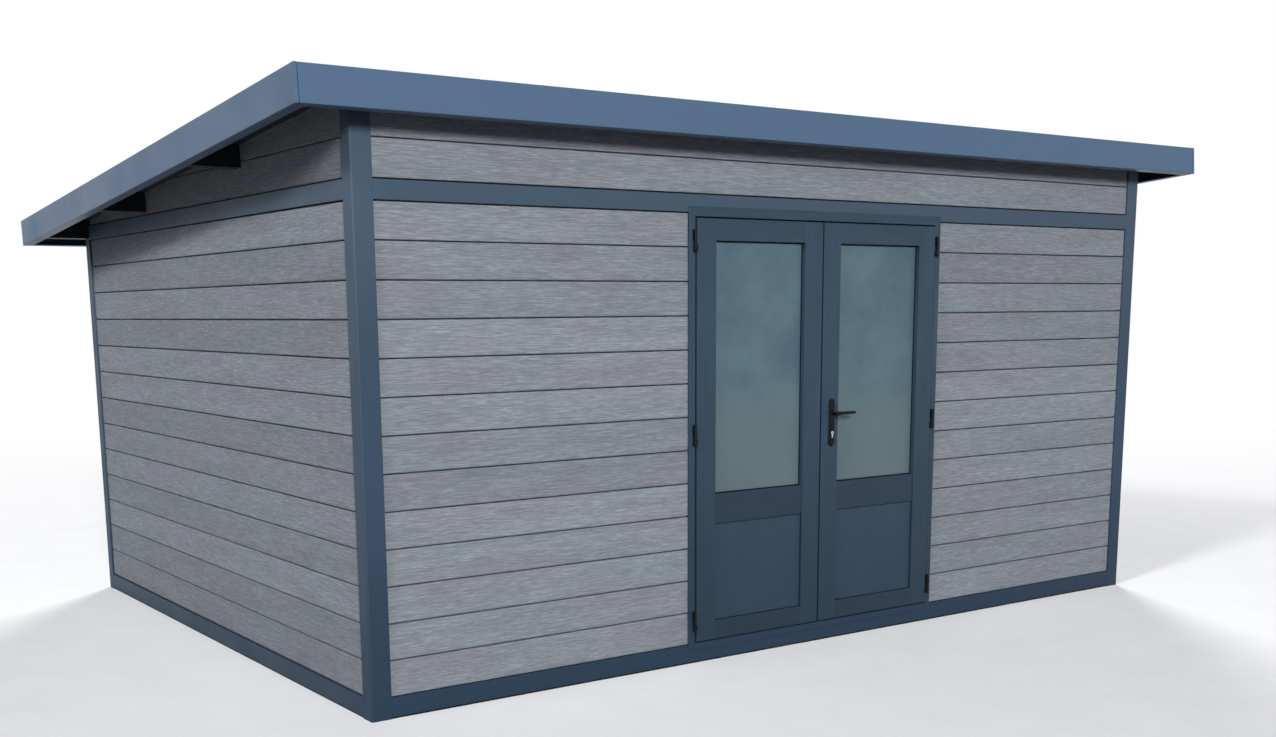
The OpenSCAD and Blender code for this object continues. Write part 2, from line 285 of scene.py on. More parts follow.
@dataclass(frozen=True)
class BrushedComposite(Finish):
    """Wood-plastic composite board, extruded, embossed and brushed.

    The brushing opens matt, slightly fibrous streaks along the board, so that the eye sees
    a weathered timber grain with no gloss, and each board a little off its neighbours.
    """

    cool: str = "#8c959b"
    warm: str = "#8d8f98"
    pore: str = "#40454d"
    # Brush marks are 1 to 2 mm high on the real board; drawn 2 to 6 mm so that they show.
    brush: Streaks = Streaks((mm(150), mm(6), 1.0), 0.36, 0.6, 2.0, 0.1)
    fibre: Streaks = Streaks((mm(60), mm(4), 1.0), 0.36, 0.56, 1.0)
    hair: Streaks = Streaks((mm(30), mm(1.8), 1.0), 0.25, 0.5, 1.0)
    figure: Streaks = Streaks((mm(620), mm(60), 1.0), 0.36, 0.62, 3.0, 0.5)
    patch: Streaks = Streaks((mm(700), mm(150), 1.0), 0.35, 0.65, 1.0)
    tones: tuple[float, float] = (0.9, 1.08)
    swell: tuple[float, float] = (0.9, 1.04)
    pore_share: float = 0.46
    rough: tuple[float, float] = (0.88, 0.7)
    relief: tuple[float, float] = (mm(0.8), 0.5)
    ior: float = 1.49

    def wire(self, tree: bpy.types.NodeTree) -> dict[str, object]:
        """Adds the board's grain; see the base class for Args and Returns."""
        place = add_node(tree, "ShaderNodeUVMap", uv_map=GRAIN_MAP).outputs[0]
        tone = add_node(tree, "ShaderNodeAttribute", attribute_name=TONE_LAYER)
        lines = self.brush.draw(tree, place)
        for finer in (self.fibre, self.hair):
            lines = add_node(tree, "ShaderNodeMath", {0: lines, 1: finer.draw(tree, place)},
                             operation="MULTIPLY").outputs[0]
        lift = add_node(tree, "ShaderNodeMapRange",
                        {"Value": tone.outputs["Fac"], "To Min": self.tones[0],
                         "To Max": self.tones[1]})
        dark = add_node(tree, "ShaderNodeMapRange",
                        {"Value": lines, "To Min": self.pore_share, "To Max": 0.0})
        swell = add_node(tree, "ShaderNodeMapRange",
                         {"Value": self.figure.draw(tree, place), "To Min": self.swell[0],
                          "To Max": self.swell[1]})
        colour = layered(tree, srgb(self.cool),
                         (self.patch.draw(tree, place), srgb(self.warm), Blend.COVER),
                         (1.0, lift.outputs[0], Blend.TINT),
                         (dark.outputs[0], srgb(self.pore), Blend.COVER),
                         (1.0, swell.outputs[0], Blend.TINT))
        return surface(tree, colour, lines, self.rough, lines, self.relief) | {"IOR": self.ior}


@dataclass(frozen=True)
class PowderCoat(Finish):
    """Metal profile or sheet with a satin polyester powder coat.

    The cured powder gives an even, slightly dimpled skin with soft highlights on the bends.
    Dust pales it in broad faint patches and holds back part of the mirror-like reflection.
    Towards the top a painted reflection of the bright sky lightens it, and towards the
    ground a painted reflection of the dark ground darkens it.
    """

    colour: str = "#2f4052"
    dusty: str = "#354659"
    # upper and lower are painted reflections: the bright sky lightens the top, the dark ground
    # darkens the bottom.
    upper: str = "#425363"
    lower: str = "#203244"
    roughness: float = 0.5
    dust: Streaks = Streaks((mm(420),) * 3, 0.35, 0.7, 4.0)
    # Orange peel is 1 mm across; drawn 4 mm so that it shows.
    peel: Streaks = Streaks((mm(4),) * 3, detail=1.0)
    # Height masks of the painted reflection: darker from 1 m down to the ground, lighter from
    # 1.2 m up to 2.2 m.
    painted_ground_reflection: Rise = Rise(1.0, 0.0, 0.8)
    painted_sky_reflection: Rise = Rise(1.2, 2.2, 0.9)
    relief: tuple[float, float] = (mm(0.06), 0.35)
    ior: float = 1.5
    specular: float = 0.18

    def wire(self, tree: bpy.types.NodeTree) -> dict[str, object]:
        """Adds the coat's dust patches, the painted reflection by height and the dimples; see
        the base class for Args and Returns.
        """
        place = add_node(tree, "ShaderNodeTexCoord").outputs["Object"]
        dust = self.dust.draw(tree, place)
        # Painted reflection by height over the dust patches: darker near the ground, lighter
        # near the top.
        colour = layered(tree, srgb(self.colour), (dust, srgb(self.dusty), Blend.COVER),
                         (self.painted_ground_reflection.draw(tree, place), srgb(self.lower), Blend.COVER),
                         (self.painted_sky_reflection.draw(tree, place), srgb(self.upper), Blend.COVER))
        rough = self.roughness - 0.05, self.roughness + 0.1
        return surface(tree, colour, dust, rough, self.peel.draw(tree, place),
                       self.relief) | {"IOR": self.ior, "Specular IOR Level": self.specular}


@dataclass(frozen=True)
class GrainedFoil(Finish):
    """PVC-U door profile, extruded and wrapped in a wood-grain foil.

    The foil is matt, and its embossed grain shows as faint streaks along each member.
    It is painted darker towards the ground, a painted reflection of the dark ground, and its
    fine grain scatters part of the gloss.
    """

    colour: str = "#2a3c4b"
    streak: str = "#354a5c"
    # lower: painted reflection of the dark ground, darkening the foil towards the bottom.
    lower: str = "#1f303f"
    # Embossed lines are 1 mm wide; drawn 6 mm so that they show.
    grain: Streaks = Streaks((mm(380), mm(6), 1.0), waver=0.2)
    patch: Streaks = Streaks((mm(500), mm(90), 1.0), detail=2.0)
    # Height mask of that painted reflection, from 1.6 m down to 0.1 m.
    painted_ground_reflection: Rise = Rise(1.6, 0.1, 0.8)
    tones: tuple[float, float] = (0.75, 1.25)
    rough: tuple[float, float] = (0.5, 0.42)
    relief: tuple[float, float] = (mm(0.15), 0.4)
    ior: float = 1.53
    specular: float = 0.2

    def wire(self, tree: bpy.types.NodeTree) -> dict[str, object]:
        """Adds the foil's streaks; see the base class for Args and Returns."""
        place = add_node(tree, "ShaderNodeUVMap", uv_map=GRAIN_MAP).outputs[0]
        solid = add_node(tree, "ShaderNodeTexCoord").outputs["Object"]
        tone = add_node(tree, "ShaderNodeAttribute", attribute_name=TONE_LAYER)
        grain = self.grain.draw(tree, place)
        both = add_node(tree, "ShaderNodeMath", {0: grain, 1: self.patch.draw(tree, place)},
                        operation="MULTIPLY")
        lift = add_node(tree, "ShaderNodeMapRange",
                        {"Value": tone.outputs["Fac"], "To Min": self.tones[0],
                         "To Max": self.tones[1]})
        # The foil's colour, darkened near the ground by the painted reflection.
        colour = layered(tree, srgb(self.colour),
                         (both.outputs[0], srgb(self.streak), Blend.COVER),
                         (self.painted_ground_reflection.draw(tree, solid), srgb(self.lower), Blend.COVER),
                         (1.0, lift.outputs[0], Blend.TINT))
        return surface(tree, colour, grain, self.rough, grain,
                       self.relief) | {"IOR": self.ior, "Specular IOR Level": self.specular}


@dataclass(frozen=True)
class EtchedGlass(Finish):
    """Float glass with one acid-etched face.

    The etching scatters light, so that the eye sees an even greenish grey with only the
    vague shapes of what is close behind it.  Its lower part is painted lighter and greyer:
    a painted reflection on the pane.
    """

    colour: str = "#61808c"
    bloom: str = "#4f6d7e"
    # lower: painted reflection, a lighter greyer tone over the pane's lower part.
    lower: str = "#6c8085"
    # Etching grit is far under 1 mm; drawn 5 mm so that it shows.
    grit: Streaks = Streaks((mm(5),) * 3, detail=2.0)
    cloud: Streaks = Streaks((mm(240),) * 3, 0.35, 0.65)
    # Height mask of that painted reflection, from 1.32 m down to 1.1 m.
    painted_pane_reflection: Rise = Rise(1.32, 1.1, 0.7)
    clear: float = 0.45
    rough: tuple[float, float] = (0.42, 0.55)
    relief: tuple[float, float] = (mm(0.1), 0.25)
    ior: float = 1.52

    def wire(self, tree: bpy.types.NodeTree) -> dict[str, object]:
        """Adds the etched bloom and grit; see the base class for Args and Returns."""
        place = add_node(tree, "ShaderNodeTexCoord").outputs["Object"]
        cloud = self.cloud.draw(tree, place)
        # Etched bloom, then the painted reflection over the lower part.
        colour = layered(tree, srgb(self.colour), (cloud, srgb(self.bloom), Blend.COVER),
                         (self.painted_pane_reflection.draw(tree, place), srgb(self.lower), Blend.COVER))
        return surface(tree, colour, cloud, self.rough, self.grit.draw(tree, place),
                       self.relief) | {"IOR": self.ior, "Transmission Weight": self.clear}


@dataclass(frozen=True)
class CoatedFitting(Finish):
    """Die-cast zinc door furniture with a black satin coat.

    Nearly black, with tight highlights on its round edges and faint rubbing marks.  The
    coat's fine pores hold back part of the mirror-like reflection.
    """

    colour: str = "#0a0b0e"
    rubbed: str = "#121318"
    rub: Streaks = Streaks((mm(7),) * 3, 0.45, 0.75)
    rough: tuple[float, float] = (0.3, 0.5)
    relief: tuple[float, float] = (mm(0.05), 0.2)
    specular: float = 0.12

    def wire(self, tree: bpy.types.NodeTree) -> dict[str, object]:
        """Adds the rubbing marks; see the base class for Args and Returns."""
        place = add_node(tree, "ShaderNodeTexCoord").outputs["Object"]
        rub = self.rub.draw(tree, place)
        colour = layered(tree, srgb(self.colour), (rub, srgb(self.rubbed), Blend.COVER))
        return surface(tree, colour, rub, self.rough, rub,
                       self.relief) | {"Specular IOR Level": self.specular}


@dataclass(frozen=True)
class NickelPlate(Finish):
    """Nickel-plated brass lock barrel, turned and plated.

    Bright warm grey, with fine turning lines that blur its reflections.
    """

    colour: str = "#c9c8c4"
    dull: str = "#aeb0b2"
    # Turning lines are 0.2 mm apart; drawn 1.2 mm so that they show.
    lines: Streaks = Streaks((mm(1.2), mm(20), mm(1.2)), detail=2.0)
    rough: tuple[float, float] = (0.18, 0.32)

    def wire(self, tree: bpy.types.NodeTree) -> dict[str, object]:
        """Adds the turning lines; see the base class for Args and Returns."""
        place = add_node(tree, "ShaderNodeTexCoord").outputs["Object"]
        lines = self.lines.draw(tree, place)
        colour = layered(tree, srgb(self.colour), (lines, srgb(self.dull), Blend.COVER))
        blurred = add_node(tree, "ShaderNodeMapRange",
                           {"Value": lines, "To Min": self.rough[0], "To Max": self.rough[1]})
        return {"Base Color": colour, "Roughness": blurred.outputs[0], "Metallic": 1.0}


@dataclass(frozen=True)
class MattPolymer(Finish):
    """Matt polymer skin: an EPDM seal, a roof membrane or a packer.

    Extruded or calendered, it scatters all light and shows only dust in soft clouds.
    """

    colour: str = "#0c0d10"
    dusty: str = "#15171b"
    roughness: float = 0.8
    dust: Streaks = Streaks((mm(60),) * 3, 0.35, 0.7, 4.0)
    relief: tuple[float, float] = (mm(0.2), 0.3)
    ior: float = 1.5
    specular: float = 0.15

    def wire(self, tree: bpy.types.NodeTree) -> dict[str, object]:
        """Adds the dust clouds; see the base class for Args and Returns."""
        place = add_node(tree, "ShaderNodeTexCoord").outputs["Object"]
        dust = self.dust.draw(tree, place)
        colour = layered(tree, srgb(self.colour), (dust, srgb(self.dusty), Blend.COVER))
        rough = self.roughness - 0.06, self.roughness + 0.08
        return surface(tree, colour, dust, rough, dust,
                       self.relief) | {"IOR": self.ior, "Specular IOR Level": self.specular}


@dataclass(frozen=True)
class PlanedSoftwood(Finish):
    """Planed and treated softwood floor bearer.

    Straight growth lines run along it, and the treatment leaves it a dull honey brown.
    """

    early: str = "#a58a5f"
    late: str = "#7c6340"
    rings: Streaks = Streaks((mm(6), mm(420), mm(6)), 0.35, 0.65, 4.0, 0.5)
    roughness: float = 0.7
    depth: float = mm(0.3)
    ior: float = 1.55

    def wire(self, tree: bpy.types.NodeTree) -> dict[str, object]:
        """Adds the growth lines; see the base class for Args and Returns."""
        place = add_node(tree, "ShaderNodeTexCoord").outputs["Object"]
        rings = self.rings.draw(tree, place)
        bump = add_node(tree, "ShaderNodeBump",
                        {"Strength": 0.4, "Distance": self.depth, "Height": rings})
        return {"Base Color": layered(tree, srgb(self.early),
                                      (rings, srgb(self.late), Blend.COVER)),
                "Roughness": self.roughness, "IOR": self.ior, "Normal": bump.outputs[0]}


BOARD = BrushedComposite("brushed_composite_board")
DECKING = BrushedComposite("brushed_composite_deck", cool="#6a6b6b", warm="#646462",
                           pore="#47484a")
FRAME_COAT = PowderCoat("powder_coated_aluminium_frame")
# upper and lower carry the painted reflection by height: faint on the roof edge, and none on
# the liner, where both equal its colour.
EDGE_COAT = PowderCoat("powder_coated_aluminium_roof_edge", colour="#495f79", dusty="#4d637d",
                       upper="#4b617b", lower="#495f79", roughness=0.4)
LINER = PowderCoat("coil_coated_steel_liner", colour="#151a21", dusty="#191e26",
                   upper="#151a21", lower="#151a21")
DOOR_FOIL = GrainedFoil("grained_foil_on_door_profile")
GLASS = EtchedGlass("acid_etched_glass")
FITTING = CoatedFitting("black_coated_zinc")
PLATED = NickelPlate("nickel_plated_brass")
SEAL = MattPolymer("epdm_seal")
MEMBRANE = MattPolymer("welded_roof_membrane", colour="#3a3f45", dusty="#4a4f54",
                       roughness=0.72, dust=Streaks((mm(450),) * 3, 0.35, 0.7, 4.0))
SOFTWOOD = PlanedSoftwood("planed_softwood")


# ---------------------------------------------------------------- mesh helpers


def skin(rings: Sequence[Sequence[Vector]]) -> bmesh.types.BMesh:
    """Makes one closed solid through a row of rings.

    Args:
        rings: outlines with the same number of points each, from one end to the other.

    Returns:
        The solid, with flat ends.
    """
    part = bmesh.new()
    loops = [[part.verts.new(point) for point in ring] for ring in rings]
    count = len(loops[0])
    for near, far in zip(loops, loops[1:]):
        for k in range(count):
            after = (k + 1) % count
            part.faces.new((near[k], near[after], far[after], far[k]))
    part.faces.new(loops[0][::-1])
    part.faces.new(loops[-1])
    bmesh.ops.recalc_face_normals(part, faces=part.faces[:])
    return part


def on_axis(axis: Axis, at: float, a: float, b: float) -> Vector:
    """Puts two coordinates on the two other axes, in X, Y, Z order.

    Args:
        axis: the axis that gets `at`.
        at: the coordinate on that axis.
        a: the coordinate on the first of the other axes.
        b: the coordinate on the second of them.

    Returns:
        The point.
    """
    values = [a, b]
    values.insert(axis.value, at)
    return Vector(values)


def prism(outline: Sequence[tuple[float, float]], axis: Axis, start: float,
          end: float) -> bmesh.types.BMesh:
    """Extrudes an outline along an axis.

    Args:
        outline: points on the two other axes, in X, Y, Z order.
        axis: the axis to extrude along.
        start: where the solid starts on that axis.
        end: where it ends.

    Returns:
        The solid.
    """
    return skin([[on_axis(axis, at, a, b) for a, b in outline] for at in (start, end)])


def soften(part: bmesh.types.BMesh, ease: float, steps: int = 2) -> bmesh.types.BMesh:
    """Rounds every edge of a solid.

    Args:
        part: the solid, changed in place.
        ease: radius of the rounding.
        steps: segments in each rounding.

    Returns:
        The same solid.
    """
    if ease > 0:
        bmesh.ops.bevel(part, geom=part.edges[:], offset=ease, segments=steps,
                        profile=0.5, affect="EDGES", clamp_overlap=True)
    return part


def bar(first: Sequence[float], last: Sequence[float], ease: float = mm(1.2),
        steps: int = 2) -> bmesh.types.BMesh:
    """Makes a straight bar with rounded edges between two opposite corners.

    Args:
        first: one corner.
        last: the opposite corner.
        ease: radius of the rounding.
        steps: segments in each rounding.

    Returns:
        The solid.
    """
    lo = [min(a, b) for a, b in zip(first, last)]
    hi = [max(a, b) for a, b in zip(first, last)]
    outline = [(lo[0], lo[1]), (hi[0], lo[1]), (hi[0], hi[1]), (lo[0], hi[1])]
    return soften(prism(outline, Axis.Z, lo[2], hi[2]), ease, steps)


def trim(part: bmesh.types.BMesh, at: Vector, away: Vector) -> bmesh.types.BMesh:
    """Cuts a solid with a plane and closes the cut.

    Args:
        part: the solid, changed in place.
        at: a point on the plane.
        away: the side that is cut off.

    Returns:
        The same solid.
    """
    geometry = part.verts[:] + part.edges[:] + part.faces[:]
    bmesh.ops.bisect_plane(part, geom=geometry, plane_co=at, plane_no=away, clear_outer=True)
    rim = [edge for edge in part.edges if edge.is_boundary]
    if rim:
        bmesh.ops.holes_fill(part, edges=rim, sides=0)
    return part


def arc(centre: tuple[float, float], radius: float, start: float, end: float,
        steps: int = 4) -> list[tuple[float, float]]:
    """Gives points on an arc.

    Args:
        centre: the arc's centre.
        radius: its radius.
        start: the first angle in degrees.
        end: the last angle in degrees.
        steps: number of segments.

    Returns:
        The points, one more than the segments.
    """
    angles = [math.radians(start + (end - start) * k / steps) for k in range(steps + 1)]
    return [(centre[0] + radius * math.cos(t), centre[1] + radius * math.sin(t))
            for t in angles]


def rounded(lo: tuple[float, float], hi: tuple[float, float],
            radii: tuple[float, float, float, float]) -> list[tuple[float, float]]:
    """Gives the outline of a rectangle with round corners.

    Args:
        lo: its lowest corner.
        hi: its highest corner.
        radii: corner radii, counter-clockwise from the lowest corner.

    Returns:
        The outline, counter-clockwise.
    """
    corners = [(lo[0], lo[1], 1, 1, 180), (hi[0], lo[1], -1, 1, 270),
               (hi[0], hi[1], -1, -1, 0), (lo[0], hi[1], 1, -1, 90)]
    points: list[tuple[float, float]] = []
    for (x, y, dx, dy, start), radius in zip(corners, radii):
        points += arc((x + dx * radius, y + dy * radius), radius, start, start + 90)
    return points


def turned(profile: Sequence[tuple[float, float]], centre: tuple[float, float],
           axis: Axis, steps: int = 28) -> bmesh.types.BMesh:
    """Turns a profile round a line along an axis.

    Args:
        profile: pairs of the place along the axis and the radius there.
        centre: the line's place on the two other axes.
        axis: the axis.
        steps: points in each ring.

    Returns:
        The solid.
    """
    rings = []
    for at, radius in profile:
        circle = arc(centre, radius, 0, 360, steps)[:-1]
        rings.append([on_axis(axis, at, a, b) for a, b in circle])
    return skin(rings)


class Mould:
    """Gathers closed solids, with their grain direction and tone, into one piece."""

    def __init__(self, seed: int = 1) -> None:
        """Starts an empty mould.

        Args:
            seed: seed of the small differences between solids.
        """
        self.points: list[Vector] = []
        self.faces: list[list[int]] = []
        self.grain: list[float] = []
        self.tones: list[float] = []
        self.random = random.Random(seed)

    def add(self, part: bmesh.types.BMesh, along: Axis = Axis.X, tone: float = 0.5,
            place: Matrix | None = None) -> None:
        """Adds a solid and frees it.

        Args:
            part: the solid.
            along: the axis that its grain runs along.
            tone: how light it is, from 0 to 1.
            place: a transform from the solid's own frame to the row frame.
        """
        start = len(self.points)
        shift = self.random.uniform(0, GRAIN_SHIFT), self.random.uniform(0, GRAIN_SHIFT)
        part.verts.index_update()
        for face in part.faces:
            self.faces.append([start + vert.index for vert in face.verts])
            self.tones.append(tone)
            sizes = [abs(value) for value in face.normal]
            rest = [k for k in range(3) if k != along.value]
            across = min(rest, key=lambda k: sizes[k])
            for vert in face.verts:
                self.grain += [vert.co[along.value] + shift[0], vert.co[across] + shift[1]]
        for vert in part.verts:
            self.points.append(place @ vert.co if place else vert.co.copy())
        part.free()

    def cast(self, name: str, finish: Finish, body: Body, slot: str,
             replaces: Sequence[str] = (), smooth: bool = False) -> bpy.types.Object:
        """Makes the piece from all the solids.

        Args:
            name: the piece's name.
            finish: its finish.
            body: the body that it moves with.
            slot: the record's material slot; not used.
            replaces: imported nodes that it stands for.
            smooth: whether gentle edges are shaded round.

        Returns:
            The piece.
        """
        mesh = bpy.data.meshes.new(name)
        mesh.from_pydata([tuple(point) for point in self.points], [], self.faces)
        layer = mesh.uv_layers.new(name=GRAIN_MAP)
        layer.uv.foreach_set("vector", self.grain)
        tone = mesh.attributes.new(TONE_LAYER, "FLOAT", "FACE")
        tone.data.foreach_set("value", self.tones)
        mesh.update()
        if smooth:
            mesh.polygons.foreach_set("use_smooth", [True] * len(mesh.polygons))
            mesh.set_sharp_from_angle(angle=SMOOTH_ANGLE)
        mesh.materials.append(finish.material())
        piece = bpy.data.objects.new(name, mesh)
        bpy.context.scene.collection.objects.link(piece)
        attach(piece, body.value)
        if replaces:
            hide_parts(*replaces)
        LOG.info("%s: %d faces, %s, on %s", name, len(mesh.polygons), finish.name, body.value)
        return piece


# ---------------------------------------------------------------- sub-assemblies


@dataclass
class RoofPlane:
    """The roof's own frame: X along the eaves, Y down the fall, Z square to the roof."""

    pitch: float = math.radians(4.63)
    front_y: float = field(init=False)
    place: Matrix = field(init=False)
    u0: float = field(init=False)
    u1: float = field(init=False)
    v0: float = field(init=False)
    v1: float = field(init=False)
    edge_h: float = mm(142)
    panel_w0: float = mm(102)
    panel_w1: float = mm(138)

    def __post_init__(self) -> None:
        """Works out the roof's frame from the posts, the mid rail and the fascias."""
        self.front_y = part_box("post_front_left")[0].y
        back_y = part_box("post_back_left")[1].y
        eaves_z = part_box("mid_rail_left")[0].z
        top_z = eaves_z + (back_y - self.front_y) * math.tan(self.pitch)
        turn = Matrix.Rotation(-self.pitch, 4, "X")
        self.place = Matrix.Translation((0, self.front_y, top_z)) @ turn
        self.u0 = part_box("fascia_left")[0].x
        self.u1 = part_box("fascia_right")[1].x
        self.v0 = (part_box("fascia_front")[0].y - self.front_y) / math.cos(self.pitch)
        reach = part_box("fascia_back")[1].y - self.front_y - self.edge_h * math.sin(self.pitch)
        self.v1 = reach / math.cos(self.pitch)

    def trim_below(self, part: bmesh.types.BMesh, level: float) -> bmesh.types.BMesh:
        """Cuts off what is above a level of the roof.

        Args:
            part: a solid in the row frame, changed in place.
            level: height over the roof plane.

        Returns:
            The same solid.
        """
        at = self.place @ Vector((0, 0, level))
        away = self.place.to_3x3() @ Vector((0, 0, 1))
        return trim(part, at, away)


@dataclass
class Cladding:
    """Walls of tongued boards that meet in a narrow shadow joint."""

    row: float = mm(150)
    joint_h: float = mm(5.5)
    joint_d: float = mm(20)
    roll_h: float = mm(8)
    roll_d: float = mm(2.6)
    edge: float = mm(1.2)
    end_gap: float = mm(0.8)
    seal_h: float = mm(7)
    foot_seal_h: float = mm(3)
    seal_recess: float = mm(7)
    seal_lap: float = mm(1)
    back_gap: float = mm(1)
    back_level: float = mm(3)
    bow: float = mm(0.8)
    least_h: float = mm(8)
    steps: int = 3

    def outline(self, thick: float, height: float) -> list[tuple[float, float]]:
        """Gives a board's section.

        Args:
            thick: the board's thickness.
            height: its height with the tongue.

        Returns:
            Points as pairs of depth from the outer face and height.
        """
        turns = [math.pi / 2 * k / self.steps for k in range(self.steps + 1)]
        roll = [(self.roll_d * (1 - math.sin(t)), self.roll_h * (1 - math.cos(t)))
                for t in turns]
        face_top = height - self.joint_h
        return roll + [(0, face_top - self.edge), (self.edge, face_top),
                       (self.joint_d, face_top), (self.joint_d, height),
                       (thick, height), (thick, 0)]

    def build_wall(self, node: str, side: Side, roof: RoofPlane, level: float | None,
                   seal_h: float, seed: int) -> None:
        """Builds the boards of one wall and the seal under them.

        Args:
            node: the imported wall.
            side: the side of the shed that it is on.
            roof: the roof's frame.
            level: height over the roof plane where the boards stop, if they reach it.
            seal_h: height of the seal between the lowest board and the rail under it.
            seed: seed of the differences between boards.
        """
        lo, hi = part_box(node)
        across, inward = side.value
        outer = lo[across.value] if inward > 0 else hi[across.value]
        thick = hi[across.value] - lo[across.value]
        start = lo[side.along.value] + self.end_gap
        end = hi[side.along.value] - self.end_gap
        mould = Mould(seed)
        foot = lo.z + seal_h
        while foot < hi.z - self.least_h:
            height = min(self.row, hi.z - foot) if level is None else self.row
            push = inward * mould.random.uniform(0, self.bow)
            section = [(outer + push + inward * depth, foot + rise)
                       for depth, rise in self.outline(thick - self.back_gap, height)]
            board = prism(section, side.along, start, end)
            if level is not None:
                roof.trim_below(board, level)
            tone = mould.random.random()
            if board.faces:
                mould.add(board, side.along, tone)
            foot += self.row
        mould.cast(node + "_boards", BOARD, Body.SHED, "boards", [node])
        seal = Mould(seed)
        near = on_axis(across, outer + inward * self.seal_recess, start, lo.z)
        far = on_axis(across, outer + inward * (thick - self.back_gap), end,
                      lo.z + seal_h + self.seal_lap)
        seal.add(bar(near, far, mm(0.6), 1), side.along)
        seal.cast(node + "_seal", SEAL, Body.SHED, "hardware")

    def build(self, roof: RoofPlane) -> None:
        """Builds every wall.

        Args:
            roof: the roof's frame.
        """
        under = roof.panel_w0
        walls = [("wall_front_left", Side.FRONT, None, self.foot_seal_h),
                 ("wall_front_right", Side.FRONT, None, self.foot_seal_h),
                 ("wall_over_door", Side.FRONT, under, self.seal_h),
                 ("wall_back", Side.BACK, self.back_level, self.foot_seal_h),
                 ("wall_left", Side.LEFT, None, self.foot_seal_h),
                 ("wall_right", Side.RIGHT, None, self.foot_seal_h),
                 ("gable_left", Side.LEFT, under, self.seal_h),
                 ("gable_right", Side.RIGHT, under, self.seal_h)]
        for seed, (node, side, level, seal_h) in enumerate(walls, 11):
            self.build_wall(node, side, roof, level, seal_h, seed)


@dataclass
class Framework:
    """Corner posts and rails, with the beams that carry the roof."""

    arris: float = mm(8)
    ease: float = mm(1.5)
    butt_gap: float = mm(0.6)
    # The packer is a real strip; its near-black colour also stands in for the contact shadow
    # along the foot of the walls: painted shade.
    packer_h: float = mm(8)
    packer_inset: float = mm(4)
    packer_ease: float = mm(0.8)
    spare: float = mm(60)
    back_level: float = mm(3.5)

    def build_posts(self, roof: RoofPlane) -> None:
        """Builds the four corner posts, each with a round outer corner.

        Args:
            roof: the roof's frame, which cuts the posts.
        """
        rounds = {"post_front_left": 0, "post_front_right": 1,
                  "post_back_right": 2, "post_back_left": 3}
        for node, corner in rounds.items():
            lo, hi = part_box(node)
            radii = [self.arris if k == corner else self.ease for k in range(4)]
            outline = rounded((lo.x, lo.y), (hi.x, hi.y), tuple(radii))
            post = prism(outline, Axis.Z, lo.z, hi.z + self.spare)
            level = roof.panel_w0 if "front" in node else self.back_level
            mould = Mould()
            mould.add(roof.trim_below(post, level), Axis.Z)
            mould.cast(node + "_profile", FRAME_COAT, Body.SHED, "frame", [node])

    def build_rails(self) -> None:
        """Builds the base and mid rails, and the packer strip under each base rail; the
        packer's near-black colour also paints the contact shadow at the foot of the walls.
        """
        base = ["base_rail_front", "base_rail_back", "base_rail_left", "base_rail_right"]
        middle = ["mid_rail_front", "mid_rail_left", "mid_rail_right"]
        for node in base + middle:
            lo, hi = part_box(node)
            along = Axis.X if hi.x - lo.x > hi.y - lo.y else Axis.Y
            lo[along.value] += self.butt_gap
            hi[along.value] -= self.butt_gap
            if node in base:
                inset = on_axis(along, 0.0, self.packer_inset, 0.0)
                high = hi - inset
                high.z = lo.z + self.packer_h
                # Near-black packer: painted shade for the contact shadow at the foot.
                packer = Mould()
                packer.add(bar(lo + inset, high, self.packer_ease, 1), along)
                packer.cast(node + "_packer", SEAL, Body.SHED, "hardware")
                lo.z += self.packer_h
            rail = Mould()
            rail.add(bar(lo, hi, self.ease), along)
            rail.cast(node + "_profile", FRAME_COAT, Body.SHED, "frame", [node])

    def dress_beams(self) -> None:
        """Gives the beams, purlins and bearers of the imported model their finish."""
        for node, finish in [("eaves_beam", LINER), ("purlins", LINER),
                             ("floor_bearers", SOFTWOOD)]:
            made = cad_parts[node]
            made.data.materials.clear()
            made.data.materials.append(finish.material())
            LOG.info("%s: packed node, %s", node, finish.name)

    def build(self, roof: RoofPlane) -> None:
        """Builds the whole framework.

        Args:
            roof: the roof's frame.
        """
        self.build_posts(roof)
        self.build_rails()
        self.dress_beams()


